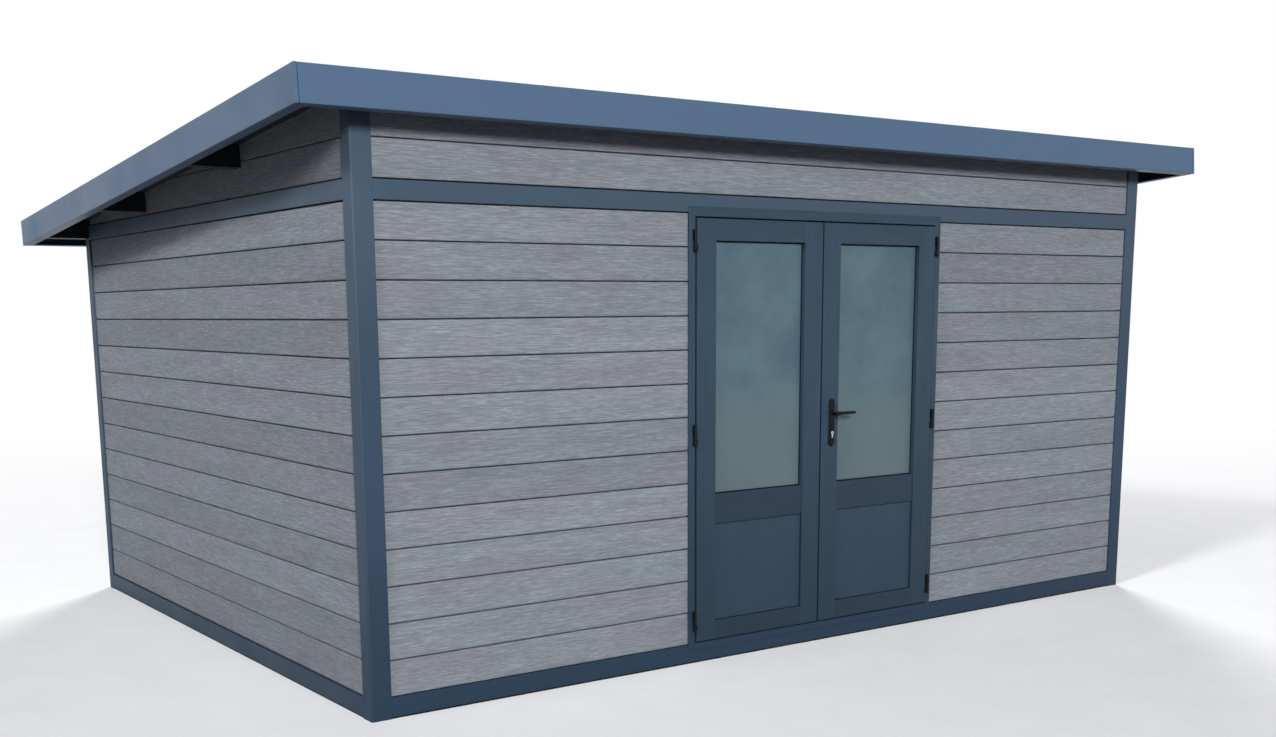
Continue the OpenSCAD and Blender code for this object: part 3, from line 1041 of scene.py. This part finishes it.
@dataclass
class RoofEdge:
    """Folded fascias round the roof, the side ones wrapped round the corners."""

    sheet: float = mm(3)
    bend: float = mm(3.5)
    lip: float = mm(50)
    wrap: float = mm(14)
    joint: float = mm(2)
    set_back: float = mm(1)
    tab_set_back: float = mm(0.5)
    tab_ease: float = mm(1)
    mitre_gap: float = mm(0.2)

    def section(self, height: float) -> list[tuple[float, float]]:
        """Gives the folded sheet's section.

        Args:
            height: the fascia's height.

        Returns:
            Points as pairs of depth from the outer face and height.
        """
        inner = self.bend - self.sheet
        low = arc((self.bend, self.bend), self.bend, 270, 180)
        top = arc((self.bend, height - self.bend), self.bend, 180, 90)
        back_top = arc((self.bend, height - self.bend), inner, 90, 180, 2)
        back_low = arc((self.bend, self.bend), inner, 180, 270, 2)
        return ([(self.lip, 0)] + low + top + [(self.lip, height),
                (self.lip, height - self.sheet)] + back_top + back_low
                + [(self.lip, self.sheet)])

    def build_run(self, roof: RoofPlane, side: Side) -> None:
        """Builds the fascia on one side of the roof.

        Args:
            roof: the roof's frame.
            side: the side.
        """
        across, inward = side.value
        along = side.along
        low, high = (roof.u0, roof.v0), (roof.u1, roof.v1)
        start, end = low[along.value], high[along.value]
        rim = low[across.value] if inward > 0 else high[across.value]
        wraps = along is Axis.Y
        outer = rim if wraps else rim + inward * self.set_back
        inset = 0.0 if wraps else self.wrap + self.joint
        section = [(outer + inward * depth, rise) for depth, rise in self.section(roof.edge_h)]
        run = prism(section, along, start + inset, end - inset)
        for at, way in ((start, -1), (end, 1)):
            away = on_axis(along, way, inward, 0.0)
            trim(run, on_axis(along, at, rim, 0.0) - away * self.mitre_gap, away)
        mould = Mould()
        mould.add(run, along, place=roof.place)
        if wraps:
            for at, way in ((start, 1), (end, -1)):
                first = on_axis(along, at, outer + inward * self.tab_set_back, 0.0)
                last = on_axis(along, at + way * self.sheet, outer + inward * self.wrap,
                               roof.edge_h)
                mould.add(bar(first, last, self.tab_ease), Axis.Z, place=roof.place)
        name = "fascia_" + side.name.lower()
        mould.cast(name + "_fold", EDGE_COAT, Body.SHED, "frame", [name])

    def build(self, roof: RoofPlane) -> None:
        """Builds the four fascias.

        Args:
            roof: the roof's frame.
        """
        for side in Side:
            self.build_run(roof, side)


@dataclass
class RoofCover:
    """Roof panel with a ribbed steel liner below and a welded membrane on top."""

    edge_t: float = mm(4)
    rib_step: float = mm(250)
    rib_w: float = mm(22)
    rib_d: float = mm(2)
    liner_t: float = mm(6)
    lap_w: float = mm(60)
    lap_t: float = mm(1.6)
    lap_sink: float = mm(0.5)
    lap_inset: float = mm(50)
    sheets: int = 4

    def liner_outline(self, u0: float, u1: float, w0: float) -> list[tuple[float, float]]:
        """Gives the liner's section, with shallow ribs pressed into its lower face.

        Args:
            u0: its left end.
            u1: its right end.
            w0: its lower face.

        Returns:
            Points along the eaves and square to the roof.
        """
        count = int((u1 - u0) / self.rib_step)
        first = (u0 + u1 - (count - 1) * self.rib_step) / 2
        points = [(u0, w0)]
        for k in range(count):
            middle = first + k * self.rib_step
            half = self.rib_w / 2
            points += [(middle - half, w0), (middle - half + self.rib_d, w0 + self.rib_d),
                       (middle + half - self.rib_d, w0 + self.rib_d), (middle + half, w0)]
        return points + [(u1, w0), (u1, w0 + self.liner_t), (u0, w0 + self.liner_t)]

    def build(self, roof: RoofPlane) -> None:
        """Builds the liner, the core and the membrane.

        Args:
            roof: the roof's frame.
        """
        u0, u1 = roof.u0 + self.edge_t, roof.u1 - self.edge_t
        v0, v1 = roof.v0 + self.edge_t, roof.v1 - self.edge_t
        liner = Mould()
        outline = self.liner_outline(u0, u1, roof.panel_w0)
        liner.add(prism(outline, Axis.Y, v0, v1), Axis.Y, place=roof.place)
        liner.cast("roof_panel_liner", LINER, Body.SHED, "roof")
        cover = Mould()
        low = (u0, v0, roof.panel_w0 + self.liner_t)
        cover.add(bar(low, (u1, v1, roof.panel_w1), mm(1)), Axis.Y, place=roof.place)
        width = (u1 - u0) / self.sheets
        for k in range(1, self.sheets):
            at = u0 + k * width
            lap = bar((at, v0 + self.lap_inset, roof.panel_w1 - self.lap_sink),
                      (at + self.lap_w, v1 - self.lap_inset, roof.panel_w1 + self.lap_t),
                      mm(0.7))
            cover.add(lap, Axis.Y, place=roof.place)
        cover.cast("roof_panel_membrane", MEMBRANE, Body.SHED, "roof", ["roof_panel"])


@dataclass
class Deck:
    """Floor of composite boards across the bearers."""

    board_w: float = mm(140)
    gap: float = mm(5)
    least_w: float = mm(20)
    ease: float = mm(2)

    def build(self) -> None:
        """Builds the deck boards, which run from side to side."""
        lo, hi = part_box("floor_deck")
        mould = Mould(41)
        at = lo.y
        while at < hi.y - self.least_w:
            end = min(at + self.board_w, hi.y)
            part = bar((lo.x, at, lo.z), (hi.x, end, hi.z), self.ease)
            mould.add(part, Axis.X, mould.random.random())
            at += self.board_w + self.gap
        mould.cast("floor_deck_boards", DECKING, Body.SHED, "deck", ["floor_deck"])


@dataclass
class DoorFrame:
    """The frame round the double door, with its stop, seals and threshold."""

    face_w: float = mm(37)
    lap: float = mm(25)
    stop_t: float = mm(17)
    stop_reach: float = mm(20)
    stop_lap: float = mm(2)
    seal_t: float = mm(4)
    seal_sink: float = mm(0.5)
    seal_near: float = mm(3)
    seal_far: float = mm(11)
    seal_foot: float = mm(8)
    seal_top: float = mm(20)
    seal_ease: float = mm(1.4)
    ease: float = mm(1.5)
    rib: float = mm(3)
    rib_h: float = mm(1.4)
    ribs: int = 3
    rib_step: float = mm(12)
    first_rib: float = mm(8)
    head_gap: float = mm(7)
    face_gap: float = mm(0.2)
    bond: float = mm(1)

    def build_jamb(self, name: str, hand: int) -> None:
        """Builds one jamb.

        Args:
            name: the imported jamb.
            hand: 1 for the left jamb and -1 for the right one.
        """
        lo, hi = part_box(name)
        outer = lo.x if hand > 0 else hi.x
        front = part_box("post_front_left")[0].y
        base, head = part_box("base_rail_front")[1].z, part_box("mid_rail_front")[0].z
        jamb = Mould(51 + hand)
        inner = outer + hand * self.face_w
        jamb.add(bar((outer, lo.y, lo.z), (inner, front - self.face_gap, hi.z), self.ease),
                 Axis.Z)
        jamb.add(bar((outer + hand * self.lap, front - self.bond, base), (inner, hi.y, head),
                     self.ease), Axis.Z)
        stop = inner + hand * self.stop_reach
        stop_y = hi.y - self.stop_t
        jamb.add(bar((inner - hand * self.stop_lap, stop_y, base), (stop, hi.y, head),
                     self.ease), Axis.Z)
        jamb.cast(name + "_profile", DOOR_FOIL, Body.SHED, "door", [name])
        seal = Mould()
        near = (stop - hand * self.seal_near, stop_y + self.seal_sink, base + self.seal_foot)
        far = (stop - hand * self.seal_far, stop_y - self.seal_t, head - self.seal_top)
        seal.add(bar(near, far, self.seal_ease), Axis.Z)
        seal.cast(name + "_seal", SEAL, Body.SHED, "hardware")

    def build_cross(self) -> None:
        """Builds the frame's head and threshold between the jambs."""
        lo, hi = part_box("door_head")
        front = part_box("post_front_left")[0].y
        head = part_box("mid_rail_front")[0].z
        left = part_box("door_jamb_left")[0].x + self.face_w
        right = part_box("door_jamb_right")[1].x - self.face_w
        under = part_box("leaf_left")[1].z + self.head_gap
        top = Mould(55)
        top.add(bar((left, lo.y, under), (right, front - self.face_gap, hi.z), self.ease))
        top.add(bar((left, front - self.bond, under), (right, hi.y, head), self.ease))
        top.add(bar((left, hi.y - self.stop_t, lo.z), (right, hi.y, head), self.ease))
        top.cast("door_head_profile", DOOR_FOIL, Body.SHED, "door", ["door_head"])
        lo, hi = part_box("door_threshold")
        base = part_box("base_rail_front")[1].z
        sill = Mould(56)
        sill.add(bar((left, lo.y, lo.z), (right, front - self.face_gap, hi.z), self.ease))
        sill.add(bar((left, front - self.bond, base), (right, hi.y, hi.z - mm(1)), mm(1)))
        for k in range(self.ribs):
            at = front + self.first_rib + k * self.rib_step
            sill.add(bar((left, at, hi.z - self.rib_h), (right, at + self.rib, hi.z),
                         mm(0.5), 1))
        sill.cast("door_threshold_profile", FRAME_COAT, Body.SHED, "door", ["door_threshold"])

    def build(self) -> None:
        """Builds the whole frame."""
        self.build_jamb("door_jamb_left", 1)
        self.build_jamb("door_jamb_right", -1)
        self.build_cross()


@dataclass
class DoorLeaf:
    """One leaf: stiles and rails round etched glass over a solid panel."""

    hand: str
    body: Body
    seed: int
    groove: float = mm(12)
    ease: float = mm(1.3)
    rail_recess: float = mm(5)
    gasket_w: float = mm(6)
    gasket_t: float = mm(3)
    bead_w: float = mm(14)
    panel_gasket_w: float = mm(3)
    tuck: float = mm(0.4)
    rail_step: float = mm(0.2)
    top_tone: float = 0.45
    middle_tone: float = 0.12
    bottom_tone: float = 0.18
    infill_tone: float = 0.9
    brush_in: float = mm(0.5)
    brush_out: float = mm(2.2)
    brush_w: float = mm(4)

    def opening(self, node: str) -> tuple[Vector, Vector]:
        """Gives the opening round a packed pane or panel.

        Args:
            node: the pane or panel.

        Returns:
            The lowest and highest corner that shows.
        """
        lo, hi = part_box(node)
        step = Vector((self.groove, 0, self.groove))
        return lo + step, hi - step

    def ring(self, mould: Mould, lo: Vector, hi: Vector, width: float, near: float,
             far: float, ease: float) -> None:
        """Adds a frame of four bars just inside an opening.

        Args:
            mould: the mould that gets them.
            lo: lowest corner of the opening.
            hi: highest corner of the opening.
            width: width of the bars.
            near: their front.
            far: their back.
            ease: rounding of their edges.
        """
        for x0, x1 in ((lo.x, lo.x + width), (hi.x - width, hi.x)):
            mould.add(bar((x0, near, lo.z), (x1, far, hi.z), ease, 1), Axis.Z)
        for z0, z1 in ((lo.z, lo.z + width), (hi.z - width, hi.z)):
            mould.add(bar((lo.x + width, near, z0), (hi.x - width, far, z1), ease, 1))

    def build_members(self) -> None:
        """Builds the stiles and rails; the middle rail sits behind the stiles' face."""
        name = "leaf_" + self.hand
        lo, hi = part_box(name)
        glass_lo, glass_hi = self.opening("glass_" + self.hand)
        panel_lo, panel_hi = self.opening("panel_" + self.hand)
        mould = Mould(self.seed)
        left, right = glass_lo.x, glass_hi.x
        mould.add(bar(lo, (left, hi.y, hi.z), self.ease), Axis.Z)
        mould.add(bar((right, lo.y, lo.z), hi, self.ease), Axis.Z)
        for step, z0, z1, tone in ((self.rail_step, glass_hi.z, hi.z, self.top_tone),
                                   (self.rail_recess, panel_hi.z, glass_lo.z, self.middle_tone),
                                   (self.rail_step, lo.z, panel_lo.z, self.bottom_tone)):
            mould.add(bar((left - self.tuck, lo.y + step, z0),
                          (right + self.tuck, hi.y - self.tuck, z1), self.ease), tone=tone)
        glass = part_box("glass_" + self.hand)
        self.ring(mould, glass_lo, glass_hi, self.bead_w, glass[1].y, hi.y - mm(1), mm(3))
        mould.cast(name + "_members", DOOR_FOIL, self.body, "door", [name])

    def build_infill(self) -> None:
        """Builds the pane, the panel and their gaskets."""
        for kind, finish, slot, width in (("glass_", GLASS, "glass", self.gasket_w),
                                          ("panel_", DOOR_FOIL, "door", self.panel_gasket_w)):
            node = kind + self.hand
            lo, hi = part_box(node)
            sheet = Mould(self.seed + 1)
            sheet.add(bar(lo, hi, mm(0.6), 1), Axis.Z, self.infill_tone)
            sheet.cast(node + "_sheet", finish, self.body, slot, [node])
            gasket = Mould()
            low, high = self.opening(node)
            self.ring(gasket, low, high, width, lo.y - self.gasket_t, lo.y, mm(0.8))
            gasket.cast(node + "_gasket", SEAL, self.body, "hardware")

    def build_edge_seal(self) -> None:
        """Builds the brush seal on the leaf's meeting edge."""
        lo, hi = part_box("leaf_" + self.hand)
        edge, out = (hi.x, 1) if self.hand == "left" else (lo.x, -1)
        middle = (lo.y + hi.y) / 2
        seal = Mould()
        seal.add(bar((edge - out * self.brush_in, middle - self.brush_w, lo.z + self.brush_w),
                     (edge + out * self.brush_out, middle + self.brush_w,
                      hi.z - self.brush_w), mm(0.8), 1), Axis.Z)
        seal.cast("leaf_" + self.hand + "_brush_seal", SEAL, self.body, "hardware")

    def build(self) -> None:
        """Builds the whole leaf."""
        self.build_members()
        self.build_infill()
        self.build_edge_seal()


@dataclass
class Hinges:
    """Three pin hinges per leaf: knuckles on a flag plate, and an arm to the leaf."""

    height: float = mm(100)
    radius: float = mm(8)
    collar: float = mm(5)
    running: float = mm(0.3)
    arm_h: float = mm(26)
    arm_t: float = mm(5)
    inset: float = mm(8)
    gap: float = mm(7)
    proud: float = mm(10)
    chamfer: float = mm(1)
    foot_gap: float = mm(2.5)
    top_gap: float = mm(3.6)
    dome_h: float = mm(4)
    dome_step: float = mm(0.6)
    dome_turns: int = 5
    flag_edge: float = mm(3)
    flange_t: float = mm(2)
    flange_d: float = mm(40)

    def barrel(self, x: float, y: float, low: float, high: float) -> bmesh.types.BMesh:
        """Makes one knuckle with chamfered ends.

        Args:
            x: the axis' place.
            y: the axis' place.
            low: the knuckle's lower end.
            high: its upper end.

        Returns:
            The solid.
        """
        cut = self.chamfer
        profile = [(low, self.radius - cut), (low + cut, self.radius),
                   (high - cut, self.radius), (high, self.radius - cut)]
        return turned(profile, (x, y), Axis.Z)

    def cap(self, x: float, y: float, base: float, up: int) -> bmesh.types.BMesh:
        """Makes the domed end of a barrel, inside its height.

        Args:
            x: the axis' place.
            y: the axis' place.
            base: where the dome starts.
            up: 1 for a dome on top and -1 for one below.

        Returns:
            The solid.
        """
        turns = [math.radians(90 * k / self.dome_turns) for k in range(self.dome_turns)]
        wide = self.radius - self.dome_step
        profile = [(base + up * self.dome_h * math.sin(t), wide * math.cos(t)) for t in turns]
        return turned(profile, (x, y), Axis.Z)

    def centres(self, node: str) -> list[float]:
        """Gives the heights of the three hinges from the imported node's box.

        Args:
            node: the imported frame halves.

        Returns:
            The heights of their middles.
        """
        lo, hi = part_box(node)
        low, high = lo.z + self.height / 2, hi.z - self.height / 2
        return [low, (low + high) / 2, high]

    def build_side(self, hand: str, body: Body) -> None:
        """Builds both halves of one leaf's hinges.

        Args:
            hand: left or right.
            body: the leaf's body.
        """
        sign = 1 if hand == "left" else -1
        fixed, moving = "hinge_frame_" + hand, "hinge_leaf_" + hand
        lo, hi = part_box(fixed)
        x = (lo.x + hi.x) / 2
        y = lo.y + self.radius
        frame_half, leaf_half = Mould(), Mould()
        for z in self.centres(fixed):
            foot, top = z - self.height / 2, z + self.height / 2
            frame_half.add(self.barrel(x, y, foot + self.foot_gap, foot + self.collar))
            frame_half.add(self.cap(x, y, foot + self.dome_h, -1))
            frame_half.add(self.barrel(x, y, z, top - self.top_gap))
            frame_half.add(self.cap(x, y, top - self.dome_h, 1))
            frame_half.add(bar((x - self.radius, y + mm(1), z + self.flag_edge),
                               (x + self.radius, y + self.proud, top - self.flag_edge),
                               mm(1.5)))
            low = foot + self.collar + self.running
            leaf_half.add(self.barrel(x, y, low, z - self.running))
            edge = x + sign * (self.inset + self.gap)
            leaf_half.add(bar((x, y - self.arm_t / 2, low),
                              (edge, y + self.arm_t / 2, low + self.arm_h), mm(1)))
            leaf_half.add(bar((edge - sign * self.flange_t, y - self.arm_t / 2, low),
                              (edge, y + self.flange_d, low + self.arm_h), mm(0.6), 1))
        frame_half.cast(fixed + "_knuckles", FITTING, Body.SHED, "hardware", [fixed], True)
        leaf_half.cast(moving + "_knuckles", FITTING, body, "hardware", [moving], True)

    def build(self) -> None:
        """Builds the hinges of both leaves."""
        self.build_side("left", Body.LEFT_DOOR)
        self.build_side("right", Body.RIGHT_DOOR)


@dataclass
class DoorHandle:
    """Lever handle on long plates, with the lock barrel under it."""

    plate_t: float = mm(8)
    plate_h: float = mm(228)
    plate_w: float = mm(36)
    root: float = mm(11)
    neck: float = mm(9)
    grip_t: float = mm(12)
    barrel_r: float = mm(8.5)
    tab_w: float = mm(10)
    tab_drop: float = mm(24)
    screw_r: float = mm(3.6)
    screw_inset: float = mm(14)
    spindle_r: float = mm(5)
    neck_sink: float = mm(1)
    neck_rise: float = mm(3)
    neck_slope: float = mm(3)
    neck_in: float = mm(1.4)
    neck_end: float = mm(1.6)
    grip_points: int = 20
    grip_square: float = 0.7

    def plate(self, x: float, z: float, face: float, out: int) -> bmesh.types.BMesh:
        """Makes one plate with half-round ends and a domed edge.

        Args:
            x: the plate's middle.
            z: the plate's middle.
            face: the leaf's face that it lies on.
            out: the sign of Y that leads away from the leaf.

        Returns:
            The solid.
        """
        rings = []
        # Share of the thickness, and how far the edge has drawn in there, in millimetres.
        for depth, inset in ((0, 0), (0.55, 0), (0.8, 0.7), (0.94, 1.9), (1, 3.6)):
            radius = self.plate_w / 2 - mm(inset)
            straight = self.plate_h / 2 - self.plate_w / 2
            outline = (arc((x, z + straight), radius, 0, 180, 12)
                       + arc((x, z - straight), radius, 180, 360, 12))
            at = face + out * self.plate_t * depth
            rings.append([Vector((a, at, b)) for a, b in outline])
        return skin(rings)

    def grip(self, x: float, z: float, middle: float) -> bmesh.types.BMesh:
        """Makes the lever's grip, which tapers and lifts slightly to its tip.

        Args:
            x: the spindle's place.
            z: the spindle's height.
            middle: the grip's middle in Y.

        Returns:
            The solid.
        """
        # Place along the grip, lift, half height and half thickness, in millimetres.
        stations = [(-10.6, 0, 3, 2.5), (-9, 0, 6.5, 4.2), (-5, 0, 9.6, 5.6), (0, 0, 11, 6),
                    (10, 0.3, 10.2, 6), (28, 1.2, 8.4, 5.4), (60, 2, 7.4, 5), (95, 2, 7, 4.8),
                    (110, 2, 6.6, 4.6), (115.5, 2, 5, 3.6), (117.6, 2, 2.6, 2)]
        rings = []
        for along, lift, high, thick in stations:
            ring = []
            for k in range(self.grip_points):
                t = 2 * math.pi * k / self.grip_points
                a = math.copysign(abs(math.cos(t)) ** self.grip_square, math.cos(t))
                b = math.copysign(abs(math.sin(t)) ** self.grip_square, math.sin(t))
                ring.append(Vector((x + mm(along), middle + mm(thick) * a,
                                    z + mm(lift) + mm(high) * b)))
            rings.append(ring)
        return skin(rings)

    def build_plates(self, x: float) -> None:
        """Builds the two plates and their screws.

        Args:
            x: the spindle's place.
        """
        lo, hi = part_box("handle_plates")
        middle = (lo.z + hi.z) / 2
        plates = Mould()
        screws = Mould()
        for face, out in ((lo.y + self.plate_t, -1), (hi.y - self.plate_t, 1)):
            plates.add(self.plate(x, middle, face, out), Axis.Z)
            for z in (hi.z - self.screw_inset, lo.z + self.screw_inset):
                at = face + out * self.plate_t
                profile = [(at - out * mm(1), self.screw_r), (at + out * mm(0.5), self.screw_r),
                           (at + out * mm(1), self.screw_r - mm(0.8))]
                screws.add(turned(profile, (x, z), Axis.Y, 16))
        plates.cast("handle_plates_domed", FITTING, Body.RIGHT_DOOR, "hardware",
                    ["handle_plates"], True)
        screws.cast("handle_plate_screws", FITTING, Body.RIGHT_DOOR, "hardware", (), True)

    def build_lever(self, x: float) -> None:
        """Builds the lever with its necks and spindle.

        Args:
            x: the spindle's place.
        """
        lo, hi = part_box("lever")
        z = (lo.z + hi.z) / 2
        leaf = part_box("leaf_right")
        lever = Mould()
        half = self.grip_t / 2
        for middle, face, out in ((lo.y + half, leaf[0].y, -1), (hi.y - half, leaf[1].y, 1)):
            lever.add(self.grip(x, z, middle), Axis.X)
            rim = face + out * (self.plate_t + self.neck_rise)
            profile = [(face + out * self.neck_sink, self.neck), (rim, self.neck),
                       (rim + out * self.neck_slope, self.neck - self.neck_in),
                       (middle, self.neck - self.neck_end)]
            lever.add(turned(profile, (x, z), Axis.Y))
        spindle = [(leaf[0].y, self.spindle_r), (leaf[1].y, self.spindle_r)]
        lever.add(turned(spindle, (x, z), Axis.Y, 16))
        lever.cast("lever_grip", FITTING, Body.LEVER, "hardware", ["lever"], True)

    def build_lock(self, x: float) -> None:
        """Builds the lock barrel with its lower tab, and a black strip on each face for the
        keyway that paints the shade in the key slot.

        Args:
            x: the barrel's place.
        """
        lo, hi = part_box("lock_cylinder")
        z = (lo.z + hi.z) / 2
        lock = Mould()
        cut = mm(0.8)
        profile = [(lo.y, self.barrel_r - cut), (lo.y + cut, self.barrel_r),
                   (hi.y - cut, self.barrel_r), (hi.y, self.barrel_r - cut)]
        lock.add(turned(profile, (x, z), Axis.Y))
        half = self.tab_w / 2
        lock.add(bar((x - half, lo.y + mm(0.6), z - self.tab_drop),
                     (x + half, hi.y - mm(0.6), z), mm(1.5)), Axis.Y)
        lock.cast("lock_barrel", PLATED, Body.RIGHT_DOOR, "lock", ["lock_cylinder"], True)
        # The keyway is a black strip on each face of the barrel: painted shade for the key
        # slot.
        keyway = Mould()
        for at, out in ((lo.y, -1), (hi.y, 1)):
            keyway.add(bar((x - mm(1.3), at + out * mm(0.25), z - mm(6)),
                           (x + mm(1.3), at - out * mm(0.5), z + mm(5)), mm(0.2), 1))
        keyway.cast("lock_keyway_shade", SEAL, Body.RIGHT_DOOR, "lock")

    def build(self) -> None:
        """Builds the whole handle set."""
        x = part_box("lever")[0].x + self.root
        self.build_plates(x)
        self.build_lever(x)
        self.build_lock(x)


# ---------------------------------------------------------------- studio


@dataclass(frozen=True)
class Lamp:
    """One round studio lamp, aimed at the shed."""

    name: str
    source: tuple[float, float, float]
    size: float
    power: float


@dataclass
class Studio:
    """Pale floor, soft light and the camera."""

    eye: tuple[float, float, float] = (-4.76839, -6.95051, 1.61878)
    heading: float = 0.6117
    tilt: float = -0.1779
    roll: float = -0.0084
    lens: float = 40.35
    shift: tuple[float, float] = (0.0176, 0.1554)
    floor_radius: float = 60.0
    floor_t: float = mm(30)
    glow_start: float = 4.0
    glow_end: float = 14.0
    lamp_aim: tuple[float, float, float] = (0.0, -0.5, 1.2)
    lamp_distance: float = 36.0
    lamps: tuple[Lamp, ...] = (Lamp("key", (-0.42, -1.0, 0.35), 7.0, 12200.0),
                               Lamp("side", (-1.0, -0.3, 0.72), 6.0, 6500.0),
                               Lamp("rear", (0.8, 1.0, 0.7), 12.0, 10500.0))
    sky_horizon: str = "#5b5e64"
    sky_top: str = "#4f5259"
    backdrop: str = "#ffffff"
    floor_pale: str = "#f4f4f5"
    floor_speck: str = "#f0f0f1"
    floor_bounce: str = "#66676a"
    speckle: Streaks = Streaks((mm(300),) * 3)

    def build_camera(self) -> None:
        """Makes the camera, with a shift for the off-centre framing."""
        ahead = Vector((math.sin(self.heading) * math.cos(self.tilt),
                        math.cos(self.heading) * math.cos(self.tilt), math.sin(self.tilt)))
        right = Vector((math.cos(self.heading), -math.sin(self.heading), 0))
        above = right.cross(ahead)
        across = right * math.cos(self.roll) + above * math.sin(self.roll)
        up = above * math.cos(self.roll) - right * math.sin(self.roll)
        data = bpy.data.cameras.new("camera")
        data.lens = self.lens
        data.sensor_width = 36.0
        data.shift_x, data.shift_y = self.shift
        camera = bpy.data.objects.new("camera", data)
        turn = Matrix((across, up, -ahead)).transposed()
        camera.matrix_world = Matrix.Translation(self.eye) @ turn.to_4x4()
        bpy.context.scene.collection.objects.link(camera)
        bpy.context.scene.camera = camera

    def seen(self, tree: bpy.types.NodeTree) -> bpy.types.NodeSocket:
        """Gives 1 on rays that show the background: camera, glossy and transmission.

        Args:
            tree: the node tree.

        Returns:
            The socket with the value.
        """
        path = add_node(tree, "ShaderNodeLightPath").outputs
        first = add_node(tree, "ShaderNodeMath",
                         {0: path["Is Camera Ray"], 1: path["Is Glossy Ray"]},
                         operation="MAXIMUM")
        last = add_node(tree, "ShaderNodeMath",
                        {0: first.outputs[0], 1: path["Is Transmission Ray"]},
                        operation="MAXIMUM")
        return last.outputs[0]

    def build_world(self) -> None:
        """Makes a soft dome that is white to the eye and brightest near the horizon."""
        world = bpy.data.worlds.new("studio_dome")
        bpy.context.scene.world = world
        world.use_nodes = True
        tree = world.node_tree
        tree.nodes.clear()
        place = add_node(tree, "ShaderNodeTexCoord").outputs["Generated"]
        height = add_node(tree, "ShaderNodeSeparateXYZ", {0: place}).outputs["Z"]
        rise = add_node(tree, "ShaderNodeMapRange",
                        {"Value": height, "From Min": 0.0, "From Max": 0.8})
        shown = layered(tree, srgb(self.sky_horizon),
                        (rise.outputs[0], srgb(self.sky_top), Blend.COVER),
                        (self.seen(tree), srgb(self.backdrop), Blend.COVER))
        dome = add_node(tree, "ShaderNodeBackground", {"Color": shown, "Strength": 1.0})
        add_node(tree, "ShaderNodeOutputWorld", {"Surface": dome.outputs[0]})

    def build_floor(self) -> None:
        """Makes the floor: pale to the eye, darker where it only returns light."""
        disc = [(-self.floor_t, self.floor_radius), (0, self.floor_radius)]
        part = turned(disc, (0, 0), Axis.Z, 64)
        mesh = bpy.data.meshes.new("floor")
        part.to_mesh(mesh)
        part.free()
        floor = bpy.data.objects.new("floor", mesh)
        bpy.context.scene.collection.objects.link(floor)
        made = bpy.data.materials.new("pale_studio_floor")
        made.use_nodes = True
        tree = made.node_tree
        tree.nodes.clear()
        shown = self.seen(tree)
        place = add_node(tree, "ShaderNodeTexCoord").outputs["Object"]
        speckle = self.speckle.draw(tree, place)
        pale = layered(tree, srgb(self.floor_pale),
                       (speckle, srgb(self.floor_speck), Blend.COVER))
        colour = layered(tree, srgb(self.floor_bounce), (shown, pale, Blend.COVER))
        lit = add_node(tree, "ShaderNodeBsdfDiffuse", {"Color": colour})
        glow = add_node(tree, "ShaderNodeEmission",
                        {"Color": srgb(self.backdrop), "Strength": 1.0})
        reach = add_node(tree, "ShaderNodeVectorMath", {0: place}, operation="LENGTH")
        far = add_node(tree, "ShaderNodeMapRange",
                       {"Value": reach.outputs["Value"], "From Min": self.glow_start,
                        "From Max": self.glow_end})
        share = add_node(tree, "ShaderNodeMath", {0: far.outputs[0], 1: shown},
                         operation="MULTIPLY")
        both = add_node(tree, "ShaderNodeMixShader",
                        {0: share.outputs[0], 1: lit.outputs[0], 2: glow.outputs[0]})
        add_node(tree, "ShaderNodeOutputMaterial", {"Surface": both.outputs[0]})
        mesh.materials.append(made)

    def build_lights(self) -> None:
        """Makes the large low lamps: key in front, one on the left and one behind."""
        for lamp in self.lamps:
            data = bpy.data.lights.new(lamp.name, "AREA")
            data.shape = "DISK"
            data.size = lamp.size
            data.energy = lamp.power
            way = Vector(lamp.source).normalized()
            light = bpy.data.objects.new(lamp.name, data)
            light.location = Vector(self.lamp_aim) + way * self.lamp_distance
            light.rotation_mode = "QUATERNION"
            light.rotation_quaternion = (-way).to_track_quat("-Z", "Y")
            bpy.context.scene.collection.objects.link(light)

    def build(self) -> None:
        """Makes the whole studio."""
        self.build_camera()
        self.build_world()
        self.build_floor()
        self.build_lights()
        bpy.context.scene.view_settings.view_transform = "Standard"


def main() -> None:
    """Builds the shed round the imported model, and the studio round the shed."""
    logging.basicConfig(level=logging.INFO, format="%(name)s %(message)s")
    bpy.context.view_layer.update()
    roof = RoofPlane()
    Cladding().build(roof)
    Framework().build(roof)
    RoofEdge().build(roof)
    RoofCover().build(roof)
    Deck().build()
    DoorFrame().build()
    DoorLeaf("left", Body.LEFT_DOOR, 61).build()
    DoorLeaf("right", Body.RIGHT_DOOR, 71).build()
    Hinges().build()
    DoorHandle().build()
    Studio().build()


if __name__ == "__main__":
    main()
